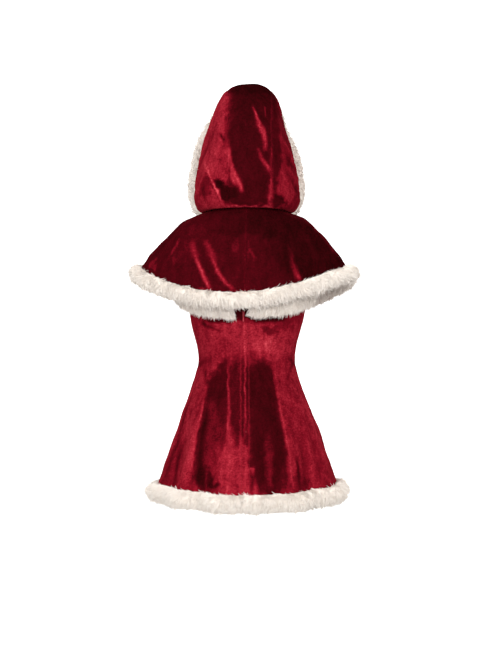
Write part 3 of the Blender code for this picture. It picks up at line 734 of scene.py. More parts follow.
@dataclass(frozen=True)
class VelvetFinish:
    """Crushed velvet: a short shiny pile whose colour carries painted light and shade, partly crushed-nap
    tone.
    """

    # From painted shade at 0 to painted highlight at 1.
    colours: tuple[tuple[float, Triple], ...] = (
        (0.00, (0.016, 0.0013, 0.0016)),
        (0.25, (0.066, 0.0020, 0.0048)),
        (0.50, (0.180, 0.0044, 0.0122)),
        (0.75, (0.345, 0.0165, 0.0310)),
        (1.00, (0.580, 0.0600, 0.0800)),
    )
    tint: tuple[float, float, float, float] = (1.0, 0.07, 0.10, 1.0)
    stroke_stretch: Triple = (1.0, 1.0, 0.4)
    fleck_stretch: Triple = (1.0, 1.0, 1.5)

    def material(self) -> Material:
        """The material."""
        board = Board("crushed_velvet")
        grain = board.noise(420, 2, 0.6)
        fleck = board.noise(170, 3, 0.7, self.fleck_stretch)
        stroke = board.noise(62, 4, 0.7, self.stroke_stretch)
        light_and_nap = board.attribute("bright")
        ragged = board.weighted((stroke, 0.9), (fleck, 0.8), (grain, 0.5))
        amount = board.math("MULTIPLY_ADD", light_and_nap, 0.9, 0.25)
        ragged = board.math("MULTIPLY", board.math("ADD", ragged, -1.1), amount)
        return board.finish(
            (stroke, 0.20, 0.0010),
            (fleck, 0.30, 0.0008),
            (grain, 0.30, 0.0004),
            # The base colour and the sheen's weight follow the pile's painted light and shade.
            Base_Color=board.ramp(board.math("ADD", light_and_nap, ragged), self.colours),
            Roughness=0.60,
            Specular_IOR_Level=0.0,
            Sheen_Weight=board.math("MULTIPLY", light_and_nap, 0.36),
            Sheen_Roughness=0.35,
            Sheen_Tint=self.tint,
        )


@dataclass(frozen=True)
class PlushFinish:
    """Long white plush, pale at its tips and darker and warmer towards its roots: painted shade deep in
    the pile.
    """

    # Painted shade: the roots' darker colour stands for shade deep between the tufts.
    root: Triple = (0.82, 0.74, 0.665)
    tip: Triple = (0.98, 0.945, 0.90)
    shade: Triple = (0.88, 0.81, 0.745)

    def material(self) -> Material:
        """The material."""
        board = Board("long_plush")
        reach = board.attribute("reach")
        tone = board.attribute("tone")
        colour = board.mix(board.math("POWER", reach, 0.7), self.root, self.tip)
        clumps = board.noise(60, 2, 0.6)
        share = board.weighted((tone, 1.0), (clumps, 0.4), (0.2, -1.0))
        return board.finish(
            (board.noise(900, 1, 0.5), 0.2, 0.0002),
            Base_Color=board.mix(board.math("MULTIPLY", share, 0.75), colour, self.shade),
            Roughness=0.85,
            Sheen_Weight=0.4,
            Sheen_Roughness=0.6,
            Sheen_Tint=(1.0, 0.97, 0.93, 1.0),
            Specular_IOR_Level=0.1,
        )


@dataclass(frozen=True)
class TapeFinish:
    """Woven polyester tape: a fine twill."""

    light: Triple = (0.26, 0.012, 0.026)
    dark: Triple = (0.11, 0.004, 0.010)

    def material(self) -> Material:
        """The material."""
        board = Board("woven_tape")
        weave = board.stripes(420, 0.6)
        share = board.weighted((weave, 0.7), (board.noise(900), 0.3))
        colour = board.mix(share, self.dark, self.light)
        return board.finish((weave, 0.5, 0.0002), Base_Color=colour, Roughness=0.8)


@dataclass(frozen=True)
class EnamelFinish:
    """Baked enamel on die-cast metal, thin and dull in small rubbed places."""

    paint: Triple = (0.50, 0.028, 0.050)
    rubbed: Triple = (0.62, 0.20, 0.17)

    def material(self) -> Material:
        """The material."""
        board = Board("red_enamel")
        wear = board.ramp(board.noise(900, 3, 0.7), ((0.60, (0, 0, 0)), (0.72, (1, 1, 1))))
        colour = board.mix(board.math("MULTIPLY", wear, 0.6), self.paint, self.rubbed)
        scuffs = board.noise(1600, 2, 0.6)
        return board.finish(
            (scuffs, 0.15, 0.0001),
            Base_Color=colour,
            Metallic=0.35,
            Roughness=board.math("MULTIPLY_ADD", scuffs, 0.25, 0.2),
            Coat_Weight=0.5,
            Coat_Roughness=0.15,
        )


@dataclass(frozen=True)
class SteelFinish:
    """Plain wire, drawn, so it is fine-scratched along its length."""

    colour: Triple = (0.60, 0.60, 0.61)

    def material(self) -> Material:
        """The material."""
        board = Board("drawn_wire")
        scratches = board.noise(700, 3, 0.6, (0.3, 3.0, 3.0))
        return board.finish(
            (scratches, 0.2, 0.00005),
            Base_Color=board.mix(scratches, self.colour, (0.42, 0.42, 0.43)),
            Metallic=1.0,
            Roughness=board.math("MULTIPLY_ADD", scratches, 0.3, 0.15),
        )


@dataclass(frozen=True)
class ThreadFinish:
    """Polyester sewing thread: two twisted plies with a slight shine."""

    light: Triple = (0.28, 0.016, 0.026)
    dark: Triple = (0.10, 0.003, 0.008)

    def material(self) -> Material:
        """The material."""
        board = Board("sewing_thread")
        plies = board.stripes(900)
        colour = board.mix(plies, self.dark, self.light)
        return board.finish(
            (plies, 0.5, 0.00008), Base_Color=colour, Roughness=0.6, Specular_IOR_Level=0.05
        )


@dataclass(frozen=True)
class PaperFinish:
    """The studio's white seamless paper, lit so that it reads white."""

    glow: float

    def material(self) -> Material:
        """The material."""
        board = Board("white_paper")
        fibres = board.noise(40, 3, 0.6)
        return board.finish(
            Base_Color=board.mix(fibres, (0.86, 0.86, 0.86), (0.90, 0.90, 0.90)),
            Roughness=0.9,
            Emission_Color=(1.0, 1.0, 1.0, 1.0),
            Emission_Strength=self.glow,
        )


# Making pieces


def linked(name: str, data: bpy.types.ID) -> Piece:
    """An object in the scene, of that mesh, light or camera."""
    piece = bpy.data.objects.new(name, data)
    bpy.context.scene.collection.objects.link(piece)
    return piece


def mesh_from(bm: BMesh, name: str) -> Mesh:
    """A smooth-shaded mesh from a bmesh, which it frees."""
    mesh = bpy.data.meshes.new(name)
    bm.to_mesh(mesh)
    bm.free()
    mesh.shade_smooth()
    return mesh


def keep_value(mesh: Mesh, name: str, values: Array) -> None:
    """Keeps a number for each vertex under that name."""
    made = mesh.attributes.new(name, "FLOAT", "POINT")
    made.data.foreach_set("value", np.ascontiguousarray(values, np.float32))


def places_of(mesh: Mesh) -> Array:
    """The mesh's vertices."""
    flat = np.zeros(len(mesh.vertices) * 3, np.float32)
    mesh.vertices.foreach_get("co", flat)
    return flat.reshape(-1, 3).astype(float)


def place_all(mesh: Mesh, points: Array) -> None:
    """Moves the mesh's vertices to those points."""
    mesh.vertices.foreach_set("co", np.ascontiguousarray(points, np.float32).ravel())
    mesh.update()


def vectors_of(mesh: Mesh, name: str) -> Array:
    """The vectors that the mesh's vertices keep under that name."""
    flat = np.zeros(len(mesh.vertices) * 3, np.float32)
    mesh.attributes[name].data.foreach_get("vector", flat)
    return unit(flat.reshape(-1, 3).astype(float))


def even_grid(columns: int, rows: int) -> BMesh:
    """A flat grid from 0 to 1 both ways."""
    bm = bmesh.new()
    bmesh.ops.create_grid(bm, x_segments=columns, y_segments=rows, size=0.5)
    bmesh.ops.translate(bm, verts=bm.verts, vec=(0.5, 0.5, 0.0))
    return bm


def bend(bm: BMesh, place: Callable[[Array], Array]) -> None:
    """Moves a flat grid's vertices to their places and joins those that meet."""
    points = place(np.array([vert.co[:] for vert in bm.verts]))
    for vert, point in zip(bm.verts, points):
        vert.co = point
    bmesh.ops.remove_doubles(bm, verts=bm.verts, dist=1e-5)


def split(bm: BMesh, point: Sequence[float], normal: Sequence[float], clear: bool = False) -> None:
    """Splits a surface by a plane, and may clear what lies on the side that it faces."""
    bmesh.ops.bisect_plane(
        bm,
        geom=bm.verts[:] + bm.edges[:] + bm.faces[:],
        dist=1e-6,
        plane_co=point,
        plane_no=normal,
        clear_outer=clear,
    )


def crowded(share: Array, edge: float, reach: float) -> Array:
    """Moves the share edge of even places to within reach of each end, beside the seams."""
    return np.interp(share, (0, edge, 1 - edge, 1), (0, reach, 1 - reach, 1))


def joined_mesh(name: str, points: Array, faces: Array) -> Mesh:
    """Joins many copies of a small shape into one mesh.

    Args:
        name: The mesh's name.
        points: The copies' points, one row of points for each copy.
        faces: The small shape's triangles.

    Returns:
        The mesh.
    """
    copies, corners = points.shape[0], points.shape[1]
    starts = np.arange(copies)[:, None, None] * corners
    wound = (faces[None] + starts).reshape(-1).astype(np.int32)
    mesh = bpy.data.meshes.new(name)
    mesh.vertices.add(copies * corners)
    mesh.vertices.foreach_set("co", points.reshape(-1).astype(np.float32))
    mesh.loops.add(len(wound))
    mesh.loops.foreach_set("vertex_index", wound)
    mesh.polygons.add(len(wound) // 3)
    mesh.polygons.foreach_set("loop_start", np.arange(0, len(wound), 3, dtype=np.int32))
    mesh.update(calc_edges=True)
    mesh.shade_flat()
    return mesh


def template_of(bm: BMesh) -> Arrays:
    """The points and triangles of a small shape, from a bmesh, which it frees."""
    bmesh.ops.triangulate(bm, faces=bm.faces)
    bm.verts.index_update()
    points = np.array([vert.co[:] for vert in bm.verts])
    faces = np.array([[vert.index for vert in face.verts] for face in bm.faces])
    bm.free()
    return points, faces


@dataclass(frozen=True)
class Cut:
    """The flat piece that a cloth was cut as, in metres and square metres."""

    width: float
    length: float
    area: float


def finished(mesh: Mesh, finish: Material, replaced: str = "") -> Piece:
    """Puts a piece of the garment in the scene.

    Args:
        mesh: Its mesh, whose name it takes.
        finish: Its material.
        replaced: The node that it replaces, if it replaces one.

    Returns:
        The piece.
    """
    piece = linked(mesh.name, mesh)
    mesh.materials.append(finish)
    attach(piece, Body.GARMENT.value)
    if replaced:
        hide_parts(replaced)
    return piece


def hang_cloth(
    mesh: Mesh, finish: Material, wall: float = WALL
) -> None:
    """Puts a velvet cloth in the scene with its wall, and logs its name and point count.

    Args:
        mesh: Its middle, named for the node that it replaces, if the model has that node.
        finish: Its material.
        wall: How thick it is.
    """
    node = mesh.name.removesuffix("_cloth")
    piece = finished(mesh, finish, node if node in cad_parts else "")
    solid = piece.modifiers.new("Wall", "SOLIDIFY")
    solid.thickness = wall
    solid.offset = 0.0
    solid.use_even_offset = False
    LOG.info("cloth %s: %d points", piece.name, len(mesh.vertices))


@dataclass(frozen=True)
class SewnValley:
    """The narrow valley that a seam draws in a cloth, puckered along its stitches."""

    reach: float
    depth: float
    pucker: float = 0.45
    step: float = 0.0021
    drift: float = 0.013

    def press(self, points: Array, beside: Array) -> Arrays:
        """Presses the seam into a cloth.

        Args:
            points: The cloth's points, in metres.
            beside: How far each is from the seam, in millimetres.

        Returns:
            How far each point moves in, in metres, and how near the seam it is, from 0 to 1.
        """
        near = np.exp(-((beside / self.reach) ** 2))
        waves = np.sin(points[:, 2] / self.step + 4 * np.sin(points[:, 2] / self.drift))
        return self.depth * near * (1 + self.pucker * waves), near


def pressed_grid(
    name: str, columns: int, rows: int, pressed: Callable[[Array, Array], Arrays]
) -> Mesh:
    """Makes a cloth on a grid, with more columns beside its seams.

    Args:
        name: The mesh's name.
        columns: How many cells go across it.
        rows: How many go down it.
        pressed: Finds points, ways out and painted light and shade, from shares across and down.

    Returns:
        The mesh.
    """
    mesh = mesh_from(even_grid(columns, rows), name)
    flat = places_of(mesh)
    across = crowded(flat[:, 0], 3.0 / columns, 1.0 / columns)
    points, _, bright = pressed(across, 1 - flat[:, 1])
    place_all(mesh, points)
    keep_value(mesh, "bright", bright)
    return mesh


# The dress


@dataclass(frozen=True)
class Seam:
    """A seam of the dress: its distance from the centre plane at a few heights."""

    points: tuple[Pair, ...]
    front: bool = False
    mirrored: bool = False

    def angle(self, form: DressForm, height: Array) -> Array:
        """Finds the seam's angle.

        Args:
            form: The dress's surface.
            height: Where.

        Returns:
            The angle round the axis.
        """
        row = form.rows.at(height)
        across = Rows(self.points).at(height)[..., 1]
        depth = row[..., 3] if self.front else row[..., 2]
        share = np.minimum(np.abs(across) / row[..., 1], 1.0)
        along = depth * (1 - share**form.roundness) ** (1 / form.roundness)
        angle = np.arctan2(across, -along if self.front else along)
        return FULL_TURN - angle if self.mirrored else angle


@dataclass(frozen=True)
class SideSeam:
    """A side seam, straight down the side."""

    turn: float

    def angle(self, form: DressForm, height: Array) -> Array:
        """The seam's angle, the same at each height."""
        return np.full_like(height, self.turn)


@dataclass(frozen=True)
class ZipEdge:
    """The centre-back edge of a back panel, parted in a narrow V above the zip's slider."""

    seam: Seam
    sign: int
    part_from: float = 0.086
    part_width: float = 0.0080

    def angle(self, form: DressForm, height: Array) -> Array:
        """The edge's angle at each height."""
        share = (height - self.part_from) / (form.top_back - self.part_from)
        parted = blended(0.0, self.part_width / 2, share)
        depth = form.rows.at(height)[..., 2]
        return self.seam.angle(form, height) + self.sign * parted / depth


@dataclass(frozen=True)
class Panel:
    """One panel of the dress, between two seams, with its columns and its flat cut."""

    name: str
    start: Seam | SideSeam | ZipEdge
    end: Seam | SideSeam | ZipEdge
    columns: int
    cut: Cut
    rests_on: tuple[str, ...]


BACK_SEAM = Seam(((-0.345, 0.006), (-0.130, 0.004), (0.0, 0.005), (0.24, 0.012)))
LEFT_BACK_SEAM = Seam(
    ((-0.345, 0.074), (-0.285, 0.064), (-0.130, 0.046), (0.0, 0.046), (0.24, 0.060))
)
RIGHT_BACK_SEAM = Seam(
    ((-0.345, -0.118), (-0.285, -0.106), (-0.130, -0.080), (0.0, -0.060), (0.24, -0.070))
)
FRONT_POINTS = (
    (-0.345, 0.100),
    (-0.285, 0.092),
    (-0.130, 0.070),
    (0.0, 0.052),
    (0.158, 0.072),
    (0.24, 0.080),
)
LEFT_FRONT_SEAM = Seam(FRONT_POINTS, front=True)
RIGHT_FRONT_SEAM = Seam(FRONT_POINTS, front=True, mirrored=True)

# Rows: the line, width, lift, fold, painted light or shade along it, its strength, flare. Low values are
# painted shade in troughs and under the plush, high ones painted highlights on ridges and seam lines.
DRESS_CREASES = {
    Side.BACK: creases(
        ((102, 22, 90, 6, 76, -10), 5, -0.9, 0.3, 0.22, 0.6),
        ((108, -4, 100, -24, 94, -46), 5, -0.7, 0.2, 0.22, 0.6),
        ((98, 24, 87, 4, 72, -14, 58, -24), 6, 1.6, 0.2, 0.7, 0.5),
        ((-108, 0, -101, -22, -95, -44), 4, -0.7, -0.2, 0.12, 0.7),
        ((-97, 22, -87, -4, -80, -30), 6, 1.4, 0, 0.65, 0.5),
        ((79, 11, 39, 3, 0, -5, -44, -4, -91, 5), 7, -2, 0.8),
        # Painted shade below the plush band, and the band's painted shadow on both sides of the opening.
        ((92, 88, 76, 80, 60, 70), 4, -1.2, 0, 0.14, 0.7),
        ((108, 97, 96, 86, 82, 80), 5, -0.8, 0, 0.06, 1),
        ((108, 101, 60, 97, 22, 101), 4, -0.6, 0, 0.08, 1),
        ((0, 103, -34, 100, -100, 105), 8, -0.8, 0, 0.05, 1),
        ((44, 7, 43, -35, 43, -61, 41, -105, 42, -138, 45, -184), 3.2, 1, 0.2, 0.66, 0.9),
        ((21, -21, 25, -87, 30, -157, 35, -205), 9, -2.2),
        ((-21, -21, -33, -87, -38, -157, -40, -215), 11, -2.4),
        ((5, 100, 4, 20, 4, -110, 6, -190), 2.2, 0.4, 0, 0.66, 0.8),
        ((15, 96, 14, 20, 14, -110, 17, -280), 2, 0, 0, 0.6, 0.7),
        ((-5, 96, -5, 20, -5, -110, -4, -280), 2, 0, 0, 0.56, 0.6),
        ((-61, 13, -70, -47, -77, -105, -86, -154, -101, -233, -105, -296), 3.2, 0.9, 0, 0.66, 0.8),
        ((90, -80, 96, -120, 103, -165, 108, -222, 109, -284), 8, -2.4, 0.2, 0.06, 1, 1.8),
        ((93, -66, 104, -129, 116, -194, 130, -286), 1.6, -0.8, 0, 0.12, 0.9),
        ((97, -66, 109, -129, 121, -194, 135, -286), 1.8, 0.6, 0, 0.78, 0.8),
        ((153, -180, 163, -238, 172, -301), 6, -2.4, 0.3, 0.16, 0.8),
        ((120, -110, 131, -206, 142, -301), 9, 2, 0, 0.72, 0.8),
        ((86, -210, 92, -256, 95, -304), 4, 1.8, 0, 0.5, 0.6),
        ((89, -286, 74, -282, 60, -270), 4, -1.8, 0.4, 0.08, 0.9),
        ((38, -198, 42, -250, 48, -306), 5, 1.6, 0.2, 0.8, 0.7),
        ((60, -262, 38, -270, 14, -286), 3, -1.6, 0.4, 0.46, 0.6),
        ((42, -130, 38, -176, 36, -240), 7, 1, 0.2, 0.7, 0.9, 2.4),
        ((12, -164, 15, -202, 24, -256), 5, 0.8, 0.2, 0.68, 0.9, 2.6),
        ((-2, -188, 2, -226, 10, -276), 4, 0.8, 0.2, 0.64, 0.9, 2.2),
        ((68, -176, 62, -206, 54, -244), 4, 0.8, 0, 0.6, 0.8, 2.4),
        ((-8, -240, -12, -266, -12, -300), 4, -1.6, 0.4, 0.14, 0.6),
        ((14, -230, 14, -262, 8, -300), 5, 1.6, 0, 0.68, 0.5),
        ((-24, -185, -26, -245, -30, -298), 8, -1.6, 0, 0.12, 0.8),
        ((-44, -170, -51, -238, -58, -306), 4, 1.3, 0, 0.42, 0.6),
        ((-70, -176, -75, -240, -81, -298), 7, -2, 0, 0.14, 0.8),
        ((-84, -200, -88, -250, -90, -300), 4, -2, 0.3, 0.12, 0.8),
        ((-97, -222, -101, -252, -107, -290), 3, 1.2, 0, 0.72, 0.9),
        ((-113, -210, -118, -250, -122, -288), 4, -1.4, 0, 0.12, 0.9),
        ((-119, -133, -131, -215, -140, -296), 7, -2, 0, 0.35, 0.5),
        ((-132, -150, -149, -225, -158, -296), 6, 1.6, 0, 0.66, 0.4),
        ((-149, -157, -166, -231, -177, -296), 6, -2, 0.2, 0.35, 0.5),
    ),
    Side.LEFT: creases(
        ((52, 10, 20, -8, -14, -14), 7, -0.8, 0.2, 0.2, 0.6),
        ((-50, 22, -28, 2, -4, -4), 5, 1.4, 0.3, 0.7, 0.5),
        ((40, -60, 48, -130, 60, -210, 74, -292), 8, -2.4, 0.2, 0.2, 0.6),
        ((14, -90, 18, -170, 26, -288), 7, 2, 0, 0.72, 0.6),
        ((-6, -120, -8, -200, -4, -288), 6, -2, 0.3, 0.2, 0.6),
        ((-34, -80, -44, -170, -56, -286), 8, 2.2, 0, 0.72, 0.6),
        ((-60, -150, -72, -220, -84, -290), 6, -2.4, 0.2, 0.2, 0.6),
        ((-96, -190, -104, -240, -112, -292), 6, 1.8, 0, 0.66, 0.5),
    ),
    Side.RIGHT: creases(
        ((50, 14, 22, -4, -10, -16), 7, -0.8, -0.2, 0.2, 0.6),
        ((-46, 24, -30, 6, -8, -2), 5, 1.4, 0, 0.7, 0.5),
        ((56, -90, 66, -180, 80, -290), 8, 2, 0, 0.72, 0.6),
        ((30, -70, 34, -150, 44, -288), 7, -2.4, -0.2, 0.2, 0.6),
        ((2, -110, 0, -200, 8, -286), 7, 1.8, 0, 0.7, 0.5),
        ((-24, -140, -34, -220, -40, -288), 6, -2.4, -0.2, 0.2, 0.6),
        ((-56, -60, -66, -170, -84, -288), 8, 2, 0, 0.7, 0.6),
        ((-92, -170, -100, -230, -110, -290), 6, -2, 0, 0.25, 0.5),
    ),
    Side.FRONT: creases(
        ((84, 22, 66, 4, 40, -8), 7, -2, 0.4, 0.2, 0.6),
        ((-88, 18, -64, 0, -44, -16), 7, -2, -0.4, 0.2, 0.6),
        ((60, 30, 20, 22, -24, 26, -58, 34), 8, -1.5, 0.8),
        ((52, 120, 30, 112, 4, 116), 7, -1.5, 0.2, 0.3, 0.5),
        ((-56, 112, -30, 120, -8, 110), 7, 1.4, 0.2, 0.75, 0.5),
        ((22, -30, 28, -110, 34, -190, 30, -270), 10, -2.6, 0, 0.15, 0.6),
        ((-18, -40, -26, -120, -22, -200, -30, -280), 8, 2.2, 0, 0.7, 0.6),
        ((2, -150, 6, -220, 0, -294), 6, 2, 0.2, 0.7, 0.5),
        ((58, -130, 66, -210, 64, -292), 7, 2.2, 0, 0.7, 0.6),
        ((86, -60, 98, -150, 112, -286), 8, -2.6, 0.2, 0.15, 0.7),
        ((128, -150, 138, -220, 148, -284), 7, 2, 0, 0.7, 0.5),
        ((-60, -120, -70, -200, -66, -290), 7, -2.6, 0.2, 0.15, 0.7),
        ((-92, -50, -104, -150, -118, -284), 8, 2.2, 0, 0.75, 0.6),
        ((-136, -160, -146, -220, -158, -284), 6, -2.2, 0, 0.25, 0.5),
    ),
}
# Patches: middle, half size, painted light or shade, turn. Much of this is painted light and shade,
# partly crushed-nap tone: painted shade down the middle of the skirt and in the opening above the slider,
# painted highlight on the bodice and the skirt's sides.
DRESS_PATCHES = {
    Side.BACK: patches(
        (0, 52, 140, 50, 0.6), (-50, 44, 38, 20, 0.76), (20, 66, 40, 26, 0.64),
        (60, 40, 30, 20, 0.52), (-56, 78, 22, 10, 0.34, -8), (-100, 84, 20, 16, 0.4),
        (8, 116, 22, 15, 0.14), (4, -125, 84, 134, 0.24), (124, -150, 26, 160, 0.58, 17),
        (-124, -150, 40, 170, 0.53, -15), (-34, -60, 36, 62, 0.13), (-50, -195, 38, 112, 0.12, -4),
        (66, -52, 24, 56, 0.16, 16), (28, -60, 10, 60, 0.24), (70, -170, 16, 44, 0.36),
        (-50, -225, 12, 60, 0.28), (84, -150, 14, 60, 0.34, 6), (42, -216, 22, 36, 0.56, 8),
        (12, -226, 14, 32, 0.54, -14), (32, -262, 36, 30, 0.61, 14), (22, -290, 30, 22, 0.62, -8),
        (-12, -246, 10, 11, 0.58, 30), (-17, -286, 12, 15, 0.62), (2, -204, 9, 16, 0.5),
        (97, -266, 20, 26, 0.1, 8), (-118, -276, 24, 18, 0.36),
    ),
    Side.FRONT: patches(
        (0, 60, 100, 60, 0.62), (24, 50, 36, 26, 0.76), (6, -104, 56, 116, 0.26),
        (-34, -66, 24, 60, 0.14), (32, -140, 22, 74, 0.16), (110, -170, 34, 120, 0.58, 16),
        (-118, -150, 34, 130, 0.6, -16), (-16, -250, 44, 40, 0.66, 12), (70, -230, 18, 70, 0.15),
    ),
    Side.LEFT: patches(
        (30, -120, 34, 110, 0.62), (-50, -170, 26, 100, 0.2, -8), (0, 60, 70, 50, 0.58),
    ),
    Side.RIGHT: patches(
        (34, -130, 30, 110, 0.62), (-40, -190, 26, 90, 0.2, -8), (0, 56, 70, 50, 0.58),
    ),
}
DRESS_MARKS = Marks(
    0.5,
    DRESS_CREASES,
    DRESS_PATCHES,
    (Waves(3, 0.070, 0.0010, 2.2), Waves(8, 0.026, 0.0004, 1.6)),
)


DRESS_PANELS = (
    Panel(
        "dress_back_left", ZipEdge(BACK_SEAM, 1), LEFT_BACK_SEAM, 26, Cut(0.070, 0.445, 0.022),
        ("dress_side_back_left_cloth", "zip_tape_left"),
    ),
    Panel(
        "dress_side_back_left", LEFT_BACK_SEAM, SideSeam(math.pi / 2), 58, Cut(0.230, 0.450, 0.068),
        ("dress_back_left_cloth", "dress_side_front_left_cloth"),
    ),
    Panel(
        "dress_side_front_left", SideSeam(math.pi / 2), LEFT_FRONT_SEAM, 56, Cut(0.220, 0.490, 0.068),
        ("dress_side_back_left_cloth", "dress_front_cloth"),
    ),
    Panel(
        "dress_front", LEFT_FRONT_SEAM, RIGHT_FRONT_SEAM, 64, Cut(0.205, 0.515, 0.073),
        ("dress_side_front_left_cloth", "dress_side_front_right_cloth"),
    ),
    Panel(
        "dress_side_front_right", RIGHT_FRONT_SEAM, SideSeam(1.5 * math.pi), 56, Cut(0.220, 0.490, 0.068),
        ("dress_front_cloth", "dress_side_back_right_cloth"),
    ),
    Panel(
        "dress_side_back_right", SideSeam(-math.pi / 2), RIGHT_BACK_SEAM, 52, Cut(0.200, 0.450, 0.059),
        ("dress_side_front_right_cloth", "dress_back_right_cloth"),
    ),
    Panel(
        "dress_back_right", RIGHT_BACK_SEAM, ZipEdge(BACK_SEAM, -1), 40, Cut(0.120, 0.445, 0.035),
        ("dress_side_back_right_cloth", "zip_tape_right"),
    ),
)


@dataclass
class Dress:
    """The dress: seven velvet panels, cut princess line, with a concealed zip at the back."""

    velvet: Material
    form: DressForm = DressForm()
    marks: Marks = DRESS_MARKS
    panels: tuple[Panel, ...] = DRESS_PANELS
    band_height: float = 0.046
    band_over: float = 0.004
    band_rows: int = 3
    rows_down: int = 14
    fine_rows: int = 140
    seam: SewnValley = SewnValley(2.0, 0.0009)
    # A painted highlight along each seam.
    seam_painted_highlight: float = 0.10
    calm_from: float = 0.2
    calm_over: float = 2.5
    hem_from: float = 13.0
    hem_calm: float = 0.25
    tape_reach: float = 12.0
    tape_fade: float = 6.0
    over_tape: float = 0.0003

    def cloth_frame(self, panel: Panel, across: Array, row: Array) -> Arrays:
        """Finds places on the middle of a panel's cloth.

        Args:
            panel: The panel.
            across: 0 at its first seam, 1 at its second.
            row: The row, counted down from the top edge to the hem.

        Returns:
            The points, the ways out and the ways down.
        """
        height = np.zeros_like(across)
        angle = (panel.start.angle(self.form, height) + panel.end.angle(self.form, height)) / 2
        for _ in range(5):
            top = self.form.top(angle)
            foot = top + self.band_over - self.band_height
            lower = (row - self.band_rows) / (self.rows_down - self.band_rows)
            height = np.where(
                row <= self.band_rows,
                top + (foot - top) * row / self.band_rows,
                foot + lower * (self.form.hem(angle) - foot),
            )
            start = panel.start.angle(self.form, height)
            end = panel.end.angle(self.form, height)
            angle = start + (end - start) * across
        return self.form.frame(angle, height)

    def width(self, panel: Panel, row: Array) -> Array:
        """How far apart a panel's seams are at each row, in metres."""
        first, last = (self.cloth_frame(panel, row * 0 + edge, row)[0] for edge in (0.0, 1.0))
        return lengths_of(last - first)[..., 0]

    def pressed(self, panel: Panel, across: Array, row: Array) -> Arrays:
        """Finds points on a panel with its creases pressed in.

        Args:
            panel: The panel.
            across: 0 at its first seam, 1 at its second.
            row: The row, counted down.

        Returns:
            The points, the ways out, and the pile's painted light and shade with nap tone.
        """
        points, out, _ = self.cloth_frame(panel, across, row)
        moved, bright = self.marks.press(points, out)
        width = self.width(panel, row) / MM
        dip, near = self.seam.press(points, np.minimum(across, 1 - across) * width)
        calm = eased((row - self.calm_from) / self.calm_over)
        moved = moved * (calm * blended(1.0, self.hem_calm, row - self.hem_from)) - dip
        if isinstance(panel.start, ZipEdge) or isinstance(panel.end, ZipEdge):
            from_zip = (across if isinstance(panel.start, ZipEdge) else 1 - across) * width
            over = blended(1.0, 0.0, (from_zip - self.tape_reach) / self.tape_fade)
            moved = np.maximum(moved, -self.over_tape / np.maximum(over, 1e-6))
        return points + out * moved[:, None], out, bright + self.seam_painted_highlight * near

    def build(self) -> None:
        """Makes all seven panels."""
        for panel in self.panels:
            mesh = pressed_grid(
                panel.name + "_cloth",
                panel.columns,
                self.fine_rows,
                lambda across, down: self.pressed(panel, across, down * self.rows_down),
            )
            hang_cloth(mesh, self.velvet)


# The cape

